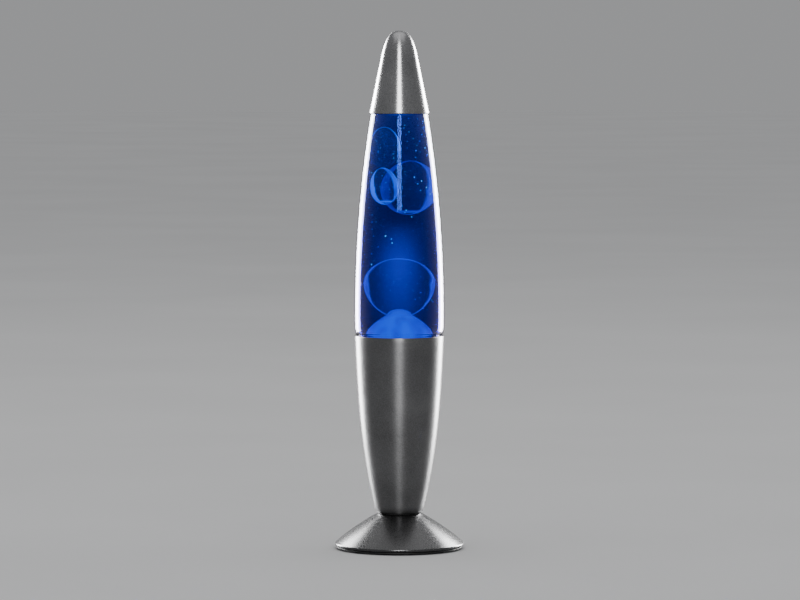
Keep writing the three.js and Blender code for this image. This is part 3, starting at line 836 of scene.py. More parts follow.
def bottle_side():
    """Outside of the bottle from the middle of its bottom to the foot of its neck."""
    inside = offset(body_side(), settings().metal.body_wall)
    fit = 0.45 * MM
    heel_top = BOTTLE_BASE + 6 * MM
    heel = radius_at(inside, heel_top) - fit
    seat = radius_at(inside, BODY_RIM - 0.2 * MM) - fit
    widest = (high("glass_bottle").x, BODY_RIM + 5.4 * MM)
    mouth = (19.1 * MM, CAP_MOUTH)
    neck = (11.4 * MM, CAP_MOUTH + 7.9 * MM)
    gap = 0.3 * MM
    return [
        *bulge((0, BOTTLE_BASE + 2.5 * MM), (heel - 5 * MM, BOTTLE_BASE), (0.5, 0), (0.8, 1), 10),
        *bulge((heel - 4 * MM, BOTTLE_BASE), (heel, heel_top), (0.6, 0), (1, 0.4), 8),
        *bulge((seat, BODY_RIM + gap), widest, (0.6, 0.1), (0.85, 0.5), 10),
        *bulge(widest, mouth, (-0.076, 0.371), (0.406, 0.732), 40)[1:],
        *bulge(mouth, neck, (0.1, 0.35), (1, 0.5), 12)[1:],
    ]


# ---- Pieces -------------------------------------------------------------------------------


class Maker:
    """What the operators share: each builds its pieces in make()."""

    def execute(self, context):
        self.make()
        return {"FINISHED"}


class LAMP_OT_cap(Maker, bpy.types.Operator):
    """Spun cap: a tall straight-sided cone with a round tip, hollow, its mouth edge rolled"""

    bl_idname = "lava_lamp.cap"
    bl_label = "Cap"

    def make(self):
        wall = settings().metal.cap_wall
        dome_radius = 11.7 * MM
        dome_base = CAP_TOP - 14.4 * MM
        side = bulge(
            (CAP_RADIUS, CAP_MOUTH), (dome_radius, dome_base), (0.325, 0.323), (0.663, 0.679), 28,
        )
        dome = bulge((dome_radius, dome_base), (0, CAP_TOP), (0.214, 0.757), (0.53, 1), 26)[1:]
        outside = side + dome
        inside = offset(outside, wall)
        edge = wall / 2
        lip = arc((CAP_RADIUS - edge, CAP_MOUTH + edge), edge, 180, 360, 6)
        outline = lip + outside[1:] + inside[:0:-1] + [lip[0]]
        finished(spun("cap", outline), "top_cap", "cap", "cap")


class LAMP_OT_body(Maker, bpy.types.Operator):
    """Spun body: a slender flared cup with a rolled rim, a floor and a hole for the holder"""

    bl_idname = "lava_lamp.body"
    bl_label = "Body"

    def make(self):
        wall = settings().metal.body_wall
        outside = body_side()
        floor = BODY_BASE + 1.2 * MM
        hole = SLEEVE_RADIUS + HOLDER_FIT
        inside = between(offset(outside, wall), floor, BODY_RIM - wall / 2)
        rim = arc((BODY_RADIUS - wall / 2, BODY_RIM - wall / 2), wall / 2, 0, 180, 8)
        chamfer = 0.7 * MM
        outline = [
            (hole, BODY_BASE),
            (BODY_FOOT - chamfer, BODY_BASE),
            *[point for point in outside if point[1] < BODY_RIM - wall / 2],
            *rim,
            *inside[-2::-1],
            (hole, floor),
            (hole, BODY_BASE),
        ]
        finished(spun("body", outline), "body_shell", "base", "body")


class LAMP_OT_foot(Maker, bpy.types.Operator):
    """Spun foot: a low cone with a turned hem, a flat top and a hole for the cord's bush"""

    bl_idname = "lava_lamp.foot"
    bl_label = "Foot"

    def make(self):
        metal = settings().metal
        wall = metal.foot_wall
        hem = metal.hem
        hole = SLEEVE_RADIUS + HOLDER_FIT
        centre = (FOOT_RADIUS - hem, FOOT_RIM + hem)
        roll = arc(centre, hem, 54, -90, 14)
        neck_round = 0.4 * MM
        shoulder = (FOOT_NECK + neck_round * 0.4, FOOT_TOP - neck_round)
        cone = bulge(shoulder, roll[0], (0.36, 0.30), (0.70, 0.62), 16)
        inner_low = centre[0] - hem
        underside = FOOT_TOP - wall
        inside = offset(cone, -wall)
        inside = [p for p in inside if p[0] < inner_low - 0.1 * MM and p[1] < underside - 0.1 * MM]
        outline = [
            (hole, FOOT_TOP),
            (FOOT_NECK - neck_round, FOOT_TOP),
            *arc((FOOT_NECK - neck_round, FOOT_TOP - neck_round), neck_round, 90, 40, 4)[1:],
            *cone,
            *roll[1:],
            (inner_low + 0.3 * MM, FOOT_RIM),
            (inner_low, FOOT_RIM + 0.3 * MM),
            (inner_low, centre[1]),
            *inside[::-1],
            (inside[0][0] - (underside - inside[0][1]) * 1.4, underside),
            (hole, underside),
            (hole, FOOT_TOP),
        ]
        foot = spun("foot", outline)
        bush_height = (low("cord_bush").z + high("cord_bush").z) / 2
        bush_hole, drill_length, drill_reach = 4.1 * MM, 30 * MM, 35 * MM
        cut(foot, cylinder(bush_hole, drill_length, (0, drill_reach, bush_height), LYING, 64))
        smooth(foot, 35)
        finished(foot, "foot_shell", "base", "foot")
        a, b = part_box("neck_washer")
        washer = spun("neck_spacer", tube(hole, b.x, a.z, b.z, 0.1 * MM))
        finished(washer, "neck_washer", "base", "washer")


class LAMP_OT_base_plate(Maker, bpy.types.Operator):
    """Moulded base plate with air slots and ribs, its pads, and the cord's bush"""

    bl_idname = "lava_lamp.base_plate"
    bl_label = "Base plate and pads"

    def make(self):
        lowest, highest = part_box("base_plate")
        under = lowest.z
        sheet = 1.6 * MM
        recess = 11 * MM
        hole = STEM_HOLE
        outer = highest.x
        fit = outer - 1.4 * MM
        flange = under + 1.0 * MM
        ring_top = FOOT_RIM + settings().metal.hem
        web = highest.z - sheet
        edge = 0.25 * MM
        outline = [
            (hole, web), (recess, web), (recess, under + edge), (recess + edge, under),
            (outer - edge, under), (outer, under + edge), (outer, flange - edge),
            (outer - edge, flange), (fit, flange), (fit, ring_top), (fit - sheet, ring_top),
            (fit - sheet, under + sheet), (recess + sheet, under + sheet),
            (recess + sheet, highest.z - edge), (recess + sheet - edge, highest.z),
            (hole, highest.z), (hole, web),
        ]
        plate = spun("base_cover", outline)
        slots = settings().fine.slots
        length, width, slot_end = 11 * MM, 2.6 * MM, 1.2 * MM
        reach = recess + sheet + 2.5 * MM + length / 2
        cutters = []
        for i in range(slots):
            turn = TURN * i / slots
            slot = block(
                (length, width, 4 * sheet),
                (reach * math.cos(turn), reach * math.sin(turn), under),
                (0, 0, turn),
            )
            bevel(slot, slot_end, 4)
            cutters.append(slot)
        pads = [f"pad_{i}" for i in (1, 2, 3, 4)]
        fit_round = 0.3 * MM
        for name in pads:
            a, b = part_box(name)
            radius, depth = (b.x - a.x) / 2 + fit_round, b.z + fit_round - under
            place = ((a.x + b.x) / 2, (a.y + b.y) / 2, under)
            cutters.append(cylinder(radius, 2 * depth, place))
        cut(plate, joined("plate_cutters", cutters))
        smooth(plate, 30)
        finished(plate, "base_plate", "base", "plastic")
        for name in pads:
            a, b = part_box(name)
            middle = (a + b) / 2
            pad = spun(
                f"rubber_{name}", bar((b.x - a.x) / 2, max(a.z, 0.0), b.z, 0.25 * MM),
                settings().fine.small_steps, middle=(middle.x, middle.y),
            )
            finished(pad, name, "base", "rubber")
        self.bush()

    def bush(self):
        lowest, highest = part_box("cord_bush")
        middle = (lowest.z + highest.z) / 2
        flange, bore, radius = highest.x, 2.6 * MM, 3.8 * MM
        near, far = lowest.y, highest.y
        outline = [
            (bore, near), (flange - 0.2 * MM, near), (flange, near + 0.2 * MM),
            (flange, near + 1 * MM), (radius, near + 1 * MM), (radius, far - 0.8 * MM),
            *arc((radius - 0.8 * MM, far - 0.8 * MM), 0.8 * MM, 0, 90, 6)[1:],
            *arc((bore + 0.4 * MM, far - 0.4 * MM), 0.4 * MM, 90, 180, 4), (bore, near),
        ]
        bush = spun("cord_inlet", outline, settings().fine.small_steps)
        only(bush)
        bush.rotation_euler = (math.radians(-90), 0, 0)
        bush.location = (0, 0, middle)
        settle(bush)
        finished(bush, "cord_bush", "base", "plastic")


class LAMP_OT_bottle(Maker, bpy.types.Operator):
    """Glass bottle with a pushed-up bottom, a shoulder and a closure ring on its neck"""

    bl_idname = "lava_lamp.bottle"
    bl_label = "Bottle"

    def make(self):
        wall = settings().bottle.wall
        outside = bottle_side()
        inside = offset(outside, wall)
        neck = outside[-1][0]
        bore = neck - wall
        finish = 13.2 * MM
        finish_base = LIP_TOP - 6.5 * MM
        lip, inner_lip = 1.5 * MM, 0.8 * MM
        outline = [
            *outside,
            (neck, finish_base),
            *bulge(
                (neck, finish_base), (finish, finish_base + 1.2 * MM), (0.6, 0), (1, 0.4), 5,
            )[1:],
            *arc((finish - lip, LIP_TOP - lip), lip, 0, 90, 8),
            *arc((bore + inner_lip, LIP_TOP - inner_lip), inner_lip, 90, 180, 5),
            *inside[::-1],
        ]
        finished(spun("bottle", outline, sharp=60), "glass_bottle", "bottle", "bottle_glass")


DRIFT_STEPS = 8  # places along a blob's travel that a speck is tried against
INSIDE, CLEAR = 0.82, 1.08  # shares of a blob's size: well within it, and just outside it
WETTED = 0.96  # share of the bottle's inside that the specks reach


def in_ellipsoid(place, box, share):
    lowest, highest = box
    middle = (lowest + highest) / 2
    half = (highest - lowest) / 2 * share
    return sum(((place[i] - middle[i]) / half[i]) ** 2 for i in range(3)) < 1


def home_of(place):
    """The body that a speck rides on, or None where a blob's skin is or will pass."""
    for name in WAX_BLOBS:
        body = name.replace("wax_", "")
        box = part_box(name)
        if in_ellipsoid(place, box, INSIDE):
            return body
        sunk, risen = TRAVEL[body]
        for i in range(DRIFT_STEPS):
            moved = Vector((0, 0, sunk + (risen - sunk) * i / (DRIFT_STEPS - 1)))
            if in_ellipsoid(place - moved, box, CLEAR):
                return None
    return "bottle"


def spread(step, root):
    """A share of 1. Those of successive steps lie evenly, apart from another root's."""
    return math.fmod(step * math.sqrt(root), 1.0)


class LAMP_OT_liquid(Maker, bpy.types.Operator):
    """Dyed liquid that fills the bottle up to a slightly dished surface, and its bubbles"""

    bl_idname = "lava_lamp.liquid"
    bl_label = "Liquid and bubbles"

    def make(self):
        bottle = settings().bottle
        top = CAP_MOUTH + bottle.liquid_level
        fill = offset(bottle_side(), bottle.wall + 0.05 * MM)
        wetted = [point for point in fill if point[1] < top]
        edge = (radius_at(fill[RISING:], top), top)
        surface = bulge(edge, (0, top - 0.5 * MM), (0.15, 0.95), (0.5, 1), 8)
        finished(spun("dyed_water", [*wetted, *surface], sharp=60), "liquid", "bottle", "liquid")
        self.bubbles(fill)

    def bubbles(self, fill):
        """Specks spread evenly, each riding with the liquid or with the blob round it."""
        deselect()
        bpy.ops.mesh.primitive_ico_sphere_add(subdivisions=2, radius=1)
        seed = bpy.context.object
        shapes = {}
        count = settings().wax.bubbles
        bottom = high("wax_mound").z
        top = CAP_MOUTH - 4 * MM
        smallest, range_of_size = 0.14 * MM, 0.30 * MM
        placed = step = 0
        while placed < count and step < 20 * count:
            step += 1
            height = bottom + (top - bottom) * spread(step, 2)
            turn = TURN * spread(step, 3)
            radius = radius_at(fill[RISING:], height) * WETTED * math.sqrt(spread(step, 7))
            place = Vector((radius * math.cos(turn), radius * math.sin(turn), height))
            home = home_of(place)
            if home is None:
                continue
            size = smallest + range_of_size * spread(step, 11) ** 4
            shape = shapes.get(home) or shapes.setdefault(home, bmesh.new())
            for face in seed.data.polygons:
                shape.faces.new([
                    shape.verts.new(place + seed.data.vertices[i].co * size) for i in face.vertices
                ])
            placed += 1
        bpy.data.objects.remove(seed)
        for home, shape in shapes.items():
            bmesh.ops.remove_doubles(shape, verts=shape.verts, dist=0.002 * MM)
            name = "bubbles" + home.replace("bottle", "").replace("blob", "")
            bubbles = bpy.data.objects.new(name, bpy.data.meshes.new(name))
            bpy.context.scene.collection.objects.link(bubbles)
            shape.to_mesh(bubbles.data)
            shape.free()
            smooth(bubbles, 80)
            added(bubbles, home, "bubble")


class LAMP_OT_wax(Maker, bpy.types.Operator):
    """Wax: the mound on the bottle's bottom and the blobs that have risen from it"""

    bl_idname = "lava_lamp.wax"
    bl_label = "Wax"

    def make(self):
        self.mound()
        self.low_blob()
        # The last vectors give the side where each blob's painted glow is broader
        self.round_blob("wax_blob_right", 0.03, lit_side=(0.36, 0.0, -0.04))
        self.round_blob("wax_blob_left", -0.06, lit_side=(-0.40, 0.0, -0.26))
        self.round_blob("wax_blob_top", 0.05, domed=True)

    def mound(self):
        top = high("wax_mound").z
        fill = offset(bottle_side(), settings().bottle.wall + 0.35 * MM)
        contact = BOTTLE_BASE + settings().bottle.wall + 16 * MM
        tip = 6.5 * MM
        floor = [point for point in fill if point[1] < contact]
        edge = (radius_at(fill[RISING:], contact), contact)
        side = bulge(edge, (tip, top), (0.14, 0.35), (0.58, 0.80), 28)
        mound = spun("wax_pool", [*floor, *side, (0, top)], sharp=50)
        channel_in, channel_out = 17.0 * MM, 20.0 * MM
        channel_top = high("wire_coil").z + 0.7 * MM
        channel = tube(channel_in, channel_out, BOTTLE_BASE, channel_top, 0.3 * MM)
        cut(mound, spun("coil_channel", channel, 96))
        smooth(mound, 50)
        finished(mound, "wax_mound", "bottle", "mound")

    def low_blob(self):
        """A pear that narrows to the neck by which it still hangs on the mound."""
        lowest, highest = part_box("wax_blob_low")
        width = highest.x
        neck = 6.3 * MM
        neck_base = lowest.z - 0.6 * MM
        waist = lowest.z + 19.5 * MM
        outline = [
            (0, neck_base),
            (neck, neck_base),
            *bulge((neck, neck_base), (width, waist), (0.39, 0.09), (1, 0.48), 22)[1:],
            *bulge((width, waist), (0, highest.z), (0, 0.52), (0.44, 1), 24)[1:],
        ]
        blob = spun("wax_low", outline, 96, sharp=60)
        blob_wax("wax_blob_low")
        finished(blob, "wax_blob_low", "blob_low", "wax_blob_low")
        # The wax stands solid in the neck, with a rounded top
        core_radius = neck - 0.4 * MM
        core_base = neck_base + 0.2 * MM
        core = spun("wax_low_core", [
            (0, core_base),
            *bulge((core_radius, core_base), (0, lowest.z + 3.2 * MM), (0.02, 0.5), (0.5, 1), 12),
        ], 64, sharp=60)
        added(core, "blob_low", "mound")

    def round_blob(self, name, lean, lit_side=None, domed=False):
        lowest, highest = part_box(name)
        middle = (lowest + highest) / 2
        half = (highest - lowest) / 2
        deselect()
        bpy.ops.mesh.primitive_uv_sphere_add(
            segments=72, ring_count=40, radius=1, location=middle, scale=half,
        )
        blob = settle(bpy.context.object)
        # The blob leans a little and is fuller at its lower end
        for vertex in blob.data.vertices:
            up = (vertex.co.z - middle.z) / half.z
            fuller = 1 - 0.06 * up - 0.05 * up * up
            vertex.co.x = middle.x + (vertex.co.x - middle.x) * fuller + lean * half.x * up
            vertex.co.y = middle.y + (vertex.co.y - middle.y) * fuller
        blob.name = blob.data.name = name.replace("wax_blob", "wax")
        smooth(blob, 60)
        # Each blob that isn't domed gets a painted bright ring 2 mm above its bottom
        ring = None if domed else lowest.z + 2.0 * MM
        top_only = middle.z if domed else None
        blob_wax(name, ring, lit_side, top_only)
        finished(blob, name, name.replace("wax_", ""), name)


class LAMP_OT_closure(Maker, bpy.types.Operator):
    """Crown closure with a fluted skirt, its liner, and the wire coil in the wax"""

    bl_idname = "lava_lamp.closure"
    bl_label = "Closure and coil"

    def make(self):
        a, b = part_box("crown_cap")
        sheet, outer, bottom = 0.3 * MM, b.x, a.z
        knee, crest = (outer - 0.4 * MM, bottom + 3.8 * MM), (outer - 2.2 * MM, b.z)
        outside = [
            (outer, bottom), (outer - 0.15 * MM, bottom + 1.5 * MM),
            (outer - 0.35 * MM, bottom + 3.4 * MM),
            *bulge(knee, crest, (0, 0.6), (0.4, 1), 8), (0, b.z),
        ]
        inside = offset(outside, sheet)
        flutes = settings().fine.flutes
        crown = spun("crown", [*outside, *inside[::-1], outside[0]], 8 * flutes)
        depth = 0.30 * MM

        def flute(radius, turn, z):
            share = min(1, max(0, (bottom + 4.0 * MM - z) / (3.2 * MM)))
            return depth * (math.cos(flutes * turn) + 1) * share

        swell(crown, flute)
        smooth(crown, 60)
        finished(crown, "crown_cap", "bottle", "tin")
        a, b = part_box("crown_liner")
        liner = spun("crown_seal", bar(b.x, a.z, b.z, 0.15 * MM))
        finished(liner, "crown_liner", "bottle", "liner")
        a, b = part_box("wire_coil")
        thickness = 1.6 * MM
        turns = 2.5
        radius = b.x - thickness / 2
        start = a.z + thickness / 2
        climb = b.z - a.z - thickness
        steps = 200
        points = []
        for i in range(steps + 1):
            angle = TURN * turns * i / steps
            points.append((
                radius * math.cos(angle), radius * math.sin(angle), start + climb * i / steps,
            ))
        coil = wire("coil", points, thickness, sides=4)
        finished(coil, "wire_coil", "bottle", "zinc")


class LAMP_OT_holder(Maker, bpy.types.Operator):
    """Lampholder: cup, ribbed sleeve, clamp ring, threaded contact shell, tongue, terminals"""

    bl_idname = "lava_lamp.holder"
    bl_label = "Lampholder"

    def make(self):
        small = settings().fine.small_steps
        a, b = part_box("holder_cup")
        inner, hole = b.x - 1.1 * MM, STEM_HOLE
        cup = spun("lampholder_cup", [
            (hole, a.z), (b.x - 1.5 * MM, a.z),
            *arc((b.x - 1.5 * MM, a.z + 1.5 * MM), 1.5 * MM, -90, 0, 6)[1:],
            (b.x, b.z - 0.3 * MM), (b.x - 0.3 * MM, b.z), (inner, b.z),
            (inner, a.z + 2 * MM), (hole, a.z + 2 * MM), (hole, a.z),
        ], small)
        finished(cup, "holder_cup", "base", "plastic")
        self.sleeve(small)
        self.ring()
        self.contacts(small)

    def sleeve(self, steps):
        a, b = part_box("holder_sleeve")
        bore, floor_top, floor_low = 8.0 * MM, 24.2 * MM, 21.5 * MM
        chamber = b.x - 2.4 * MM
        thread_low = high("clamp_ring").z - 4 * MM
        thread_top = thread_low + 10 * MM
        outline = rows([
            (0, floor_low), (chamber, floor_low), (chamber, a.z), (b.x, a.z),
            (b.x, thread_low), (b.x, thread_top), (b.x, b.z - 0.8 * MM),
            *arc((b.x - 0.8 * MM, b.z - 0.8 * MM), 0.8 * MM, 0, 90, 5)[1:],
            (bore + 0.5 * MM, b.z), (bore, b.z - 0.5 * MM), (bore, floor_top), (0, floor_top),
        ], thread_low - 0.1 * MM, thread_top + 0.1 * MM, 0.25 * MM)
        sleeve = spun("lampholder_sleeve", outline, steps, sharp=50)
        band_low, band_top, band_depth = b.z - 12 * MM, b.z - 2 * MM, 0.005
        fade, depth, pitch = 1 * MM, 0.18 * MM, 1.5 * MM

        def growth(radius, turn, z):
            if band_low < z < band_top and radius > b.x - 0.1 * MM:
                return -band_depth * radius
            if not thread_low < z < thread_top or radius <= b.x - 0.05 * MM:
                return 0.0
            share = min(1, (z - thread_low) / fade, (thread_top - z) / fade)
            return -depth * share * groove(turn, z, pitch)

        swell(sleeve, growth)
        finished(sleeve, "holder_sleeve", "base", "plastic")

    def ring(self):
        a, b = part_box("clamp_ring")
        hole = SLEEVE_RADIUS + 0.3 * MM
        ring = spun("clamp_nut", tube(hole, b.x, a.z, b.z, 0.3 * MM), 96)
        notches = []
        for i in range(8):
            turn = TURN * i / 8
            notches.append(block(
                (3 * MM, 2 * MM, 4 * MM), (b.x * math.cos(turn), b.x * math.sin(turn), b.z),
                (0, 0, turn), 0.3 * MM,
            ))
        cut(ring, joined("ring_notches", notches))
        smooth(ring, 30)
        finished(ring, "clamp_ring", "base", "plastic")

    def contacts(self, steps):
        a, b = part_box("socket_shell")
        wall = 0.35 * MM
        inner = BULB_THREAD_RADIUS + BULB_CLEARANCE
        shell = spun("contact_shell", rows([
            (inner, a.z), (inner + wall, a.z), (inner + wall, b.z), (inner, b.z), (inner, a.z),
        ], a.z, b.z, THREAD_PITCH / 10), steps, sharp=70)
        roll_thread(shell, THREAD_DEPTH, a.z, b.z, flare=1.0)
        finished(shell, "socket_shell", "base", "brass")
        tongue = frame["nodes"]["socket_tongue"]
        tongue.data.materials.clear()
        tongue.data.materials.append(FINISHES["brass"][1])
        for pole in ("live", "neutral"):
            self.terminal(pole)

    def terminal(self, pole):
        a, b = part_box(f"terminal_{pole}")
        size = b - a
        middle = (a + b) / 2
        terminal = block(size, middle, edge=0.25 * MM)
        screw_radius, screw_depth = 1.4 * MM, size.z - 1.2 * MM
        wire_radius, wire_depth = 0.9 * MM, 1.5 * MM
        screw_hole = cylinder(screw_radius, 2 * screw_depth, (middle.x, 0, a.z), sides=32)
        wire_hole = cylinder(wire_radius, 2 * wire_depth, (middle.x, a.y, middle.z), LYING, 24)
        cut(terminal, screw_hole, wire_hole)
        terminal.name = terminal.data.name = f"terminal_block_{pole}"
        smooth(terminal, 30)
        finished(terminal, f"terminal_{pole}", "base", "brass")
        a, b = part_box(f"terminal_screw_{pole}")
        head = b.x - (a.x + b.x) / 2
        outline = rows([
            (0, a.z), (head - 0.3 * MM, a.z), (head, a.z + 0.3 * MM), (head, a.z + 1.2 * MM),
            (1.1 * MM, a.z + 1.2 * MM), (1.1 * MM, b.z - 0.2 * MM), (0.9 * MM, b.z), (0, b.z),
        ], a.z + 1.1 * MM, b.z, 0.08 * MM)
        screw = spun(f"clamp_screw_{pole}", outline, 32, sharp=40)
        under_head = a.z + 1.25 * MM
        swell(screw, lambda radius, turn, z: (
            -0.06 * radius * groove(turn, z, 0.6 * MM) if z > under_head else 0.0
        ))
        middle = (a.x + b.x) / 2
        screw.location.x = middle
        settle(screw)
        slot = block((4 * MM, 0.6 * MM, 1.2 * MM), (middle, 0, a.z))
        cut(screw, slot)
        finished(screw, f"terminal_screw_{pole}", "base", "zinc")


class LAMP_OT_fasteners(Maker, bpy.types.Operator):
    """Threaded stem tube, its lock nut, and the washer and nut under the base plate"""

    bl_idname = "lava_lamp.fasteners"
    bl_label = "Fasteners"

    def make(self):
        a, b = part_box("stem_tube")
        bore = 3.6 * MM
        outline = rows([
            (bore, a.z), (b.x - 0.4 * MM, a.z), (b.x, a.z + 0.4 * MM), (b.x, b.z - 0.4 * MM),
            (b.x - 0.4 * MM, b.z), (bore, b.z), (bore, a.z),
        ], a.z + 0.3 * MM, b.z - 0.3 * MM, 0.14 * MM)
        stem = spun("threaded_stem", outline, 64, sharp=70)
        swell(stem, lambda radius, turn, z: (
            -0.25 * MM * groove(turn, z, 1 * MM) if radius > b.x - 0.1 * MM else 0.0
        ))
        finished(stem, "stem_tube", "base", "zinc")
        nut_bore, washer_hole = 5.0 * MM, 5.2 * MM
        for name, node in (("lock_nut", "stem_locknut"), ("plate_nut", "base_nut")):
            finished(hex_nut(name, node, nut_bore), node, "base", "zinc")
        a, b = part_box("base_washer")
        washer = spun("plate_washer", tube(washer_hole, b.x, a.z, b.z, 0.15 * MM), 64)
        finished(washer, "base_washer", "base", "zinc")


class LAMP_OT_bulb(Maker, bpy.types.Operator):
    """Reflector bulb: envelope, rolled screw shell, insulator, contact, stem, filament"""

    bl_idname = "lava_lamp.bulb"
    bl_label = "Reflector bulb"

    def make(self):
        steps = settings().fine.small_steps + 24
        a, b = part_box("bulb_envelope")
        neck, wall, widest = 6.2 * MM, 0.7 * MM, 19.5 * MM
        shoulder = high("bulb_screw_shell").z + 1 * MM
        broad = b.z - 12 * MM
        outside = [
            (neck, a.z),
            *bulge((neck, shoulder), (widest, broad), (0.15, 0.12), (1.0, 0.45), 26),
            *bulge((widest, broad), (0, b.z), (0, 0.45), (0.4, 1), 22)[1:],
        ]
        inside = offset(outside, wall)
        envelope = spun("bulb_glass", [*outside, *inside[::-1], outside[0]], steps, sharp=60)
        finished(envelope, "bulb_envelope", "bulb", "bulb_glass")
        self.cap_parts(steps)
        self.inner_parts()

    def cap_parts(self, steps):
        a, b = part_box("bulb_screw_shell")
        outer = BULB_THREAD_RADIUS
        wall = 0.25 * MM
        shell = spun("screw_shell", rows([
            (outer - wall, a.z), (outer, a.z), (outer, b.z), (outer - wall, b.z),
            (outer - wall, a.z),
        ], a.z, b.z, THREAD_PITCH / 10), steps, sharp=70)
        roll_thread(shell, THREAD_DEPTH * 0.9, a.z, b.z - 2 * MM)
        finished(shell, "bulb_screw_shell", "bulb", "tin")
        a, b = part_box("bulb_insulator")
        insulator = spun("insulator", [
            (0, a.z), (3.1 * MM, a.z),
            *bulge((3.2 * MM, a.z), (b.x, b.z - 0.8 * MM), (0.5, 0.2), (1, 0.6), 8),
            (b.x, b.z - 0.1 * MM), (b.x - 0.1 * MM, b.z), (0, b.z),
        ], steps)
        finished(insulator, "bulb_insulator", "bulb_foot", "vitrite")
        a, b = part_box("bulb_contact")
        contact = spun("contact_button", [
            (0, a.z), *bulge((0, a.z), (b.x, b.z), (0.7, 0.02), (1, 0.5), 12)[1:], (0, b.z),
        ], 40)
        finished(contact, "bulb_contact", "bulb_foot", "tin")

    def inner_parts(self):
        a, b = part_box("bulb_stem")
        stem = spun("glass_stem", [
            (0, a.z), (b.x, a.z), (b.x, a.z + 0.6 * MM),
            *bulge((b.x, a.z + 0.8 * MM), (2 * MM, a.z + 6 * MM), (0.7, 0.1), (1, 0.4), 10),
            (2 * MM, b.z - 0.8 * MM), *arc((1.2 * MM, b.z - 0.8 * MM), 0.8 * MM, 0, 90, 5)[1:],
            (0, b.z),
        ], 40, sharp=50)
        finished(stem, "bulb_stem", "bulb", "stem")
        a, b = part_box("bulb_filament")
        half = (b.x - a.x) / 2 - 0.2 * MM
        steps, turns, coil = 720, 60, 0.22 * MM
        points = []
        for i in range(steps + 1):
            t = i / steps
            angle = TURN * turns * t
            points.append((
                -half + 2 * half * t,
                4 * t * (1 - t) * (b.y - 0.5 * MM) + coil * math.cos(angle),
                (a.z + b.z) / 2 + coil * math.sin(angle),
            ))
        filament = wire("filament", points, 0.12 * MM, sides=1)
        finished(filament, "bulb_filament", "bulb", "tungsten")
        for side, node in ((-1, "bulb_lead_left"), (1, "bulb_lead_right")):
            a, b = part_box(node)
            near = min(abs(a.x), abs(b.x)) + 0.3 * MM
            far = max(abs(a.x), abs(b.x)) - 0.3 * MM
            points = [
                (side * r, 0, z)
                for r, z in bulge((near, a.z), (far, b.z), (0.05, 0.3), (1, 0.75), 14)
            ]
            lead = wire(node.replace("bulb_", "support_"), points, 0.5 * MM, sides=3)
            finished(lead, node, "bulb", "zinc")


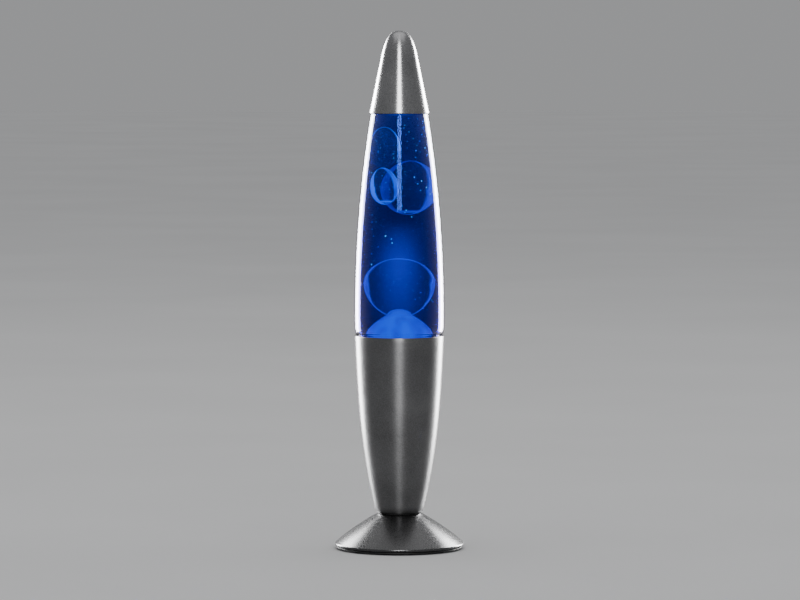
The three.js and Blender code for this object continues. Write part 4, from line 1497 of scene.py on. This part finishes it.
class LAMP_OT_stage(Maker, bpy.types.Operator):
    """Pale floor, soft studio lights and the camera"""

    bl_idname = "lava_lamp.stage"
    bl_label = "Stage"

    def make(self):
        self.camera()
        self.floor()
        self.lights()

    def camera(self):
        scene = bpy.context.scene
        data = bpy.data.cameras.new("camera")
        camera = bpy.data.objects.new("camera", data)
        scene.collection.objects.link(camera)
        data.sensor_width = 36
        data.lens = 201
        data.clip_end = 50
        camera.location = (0.0, -2.923, 0.358)
        aim = Vector((0.0004, 0, 0.1636))
        camera.rotation_euler = (aim - camera.location).to_track_quat("-Z", "Y").to_euler()
        scene.camera = camera

    def floor(self):
        deselect()
        bpy.ops.mesh.primitive_circle_add(vertices=96, radius=12, fill_type="NGON")
        floor = bpy.context.object
        floor.name = "floor"
        s = Shader("pale_floor")
        s.feed(Base_Color=s.ramp(s.noise(3, 3), (0.3, 0.78), (0.7, 0.82)))
        s.set(Roughness=0.8, Specular_IOR_Level=0.0)
        floor.data.materials.append(s.material)

    def lights(self):
        world = bpy.context.scene.world or bpy.data.worlds.new("world")
        bpy.context.scene.world = world
        world.use_nodes = True
        nodes, links = world.node_tree.nodes, world.node_tree.links
        background = nodes["Background"]
        direction = nodes.new("ShaderNodeTexCoord")
        split = nodes.new("ShaderNodeSeparateXYZ")
        links.new(direction.outputs["Generated"], split.inputs[0])
        sky = nodes.new("ShaderNodeMapRange")
        sky.inputs["From Max"].default_value = 0.6
        sky.inputs["To Min"].default_value = 0.33
        sky.inputs["To Max"].default_value = 0.42
        links.new(split.outputs["Z"], sky.inputs["Value"])
        background.inputs["Color"].default_value = (0.97, 0.98, 1.0, 1)
        links.new(sky.outputs["Result"], background.inputs["Strength"])
        middle = Vector((0, 0, 0.17))
        for name, x in (("left_softbox", -0.42), ("right_softbox", 0.42)):
            self.panel(name, (x, 0.40, 0.25), middle, (0.22, 0.52), 6, 100)
        self.panel("front_strip", (0.0, -2.2, 1.06), middle, (0.6, 1.15), 5.0, 60)
        self.panel("overhead", (0.0, 0.0, 2.6), Vector((0, 0, 0)), (3.0, 3.0), 24, 180, True)

    def panel(self, name, place, aim, size, power, spread, fill=False):
        """A soft light; power is in watts and spread in degrees, and fill lights matt things."""
        data = bpy.data.lights.new(name, "AREA")
        data.spread = math.radians(spread)
        data.shape = "RECTANGLE"
        data.size, data.size_y = size
        data.energy = power
        light = bpy.data.objects.new(name, data)
        bpy.context.scene.collection.objects.link(light)
        light.location = place
        light.rotation_euler = (Vector(aim) - light.location).to_track_quat("-Z", "Y").to_euler()
        light.visible_camera = False
        light.visible_diffuse = fill


PIECES = (
    LAMP_OT_stage,
    LAMP_OT_cap,
    LAMP_OT_body,
    LAMP_OT_foot,
    LAMP_OT_base_plate,
    LAMP_OT_bottle,
    LAMP_OT_liquid,
    LAMP_OT_wax,
    LAMP_OT_closure,
    LAMP_OT_holder,
    LAMP_OT_fasteners,
    LAMP_OT_bulb,
)


class LAMP_PT_panel(bpy.types.Panel):
    bl_label = "Lava Lamp"
    bl_idname = "LAMP_PT_panel"
    bl_space_type = "VIEW_3D"
    bl_region_type = "UI"
    bl_category = "Lava Lamp"

    def draw(self, context):
        lamp = context.scene.lava_lamp
        for group in (lamp.metal, lamp.bottle, lamp.wax, lamp.fine):
            box = self.layout.box()
            for name in group.__annotations__:
                box.prop(group, name)
        for operator in PIECES:
            self.layout.operator(operator.bl_idname)


SETTING_GROUPS = (MetalSettings, BottleSettings, WaxSettings, FineSettings, LavaLampSettings)


def register():
    for cls in (*SETTING_GROUPS, *PIECES, LAMP_PT_panel):
        bpy.utils.register_class(cls)
    bpy.types.Scene.lava_lamp = PointerProperty(type=LavaLampSettings)


def unregister():
    del bpy.types.Scene.lava_lamp
    for cls in reversed((*SETTING_GROUPS, *PIECES, LAMP_PT_panel)):
        bpy.utils.unregister_class(cls)


def main():
    register()
    make_finishes()
    for operator in PIECES:
        getattr(bpy.ops.lava_lamp, operator.bl_idname.split(".")[1])()


if __name__ == "__main__":
    main()
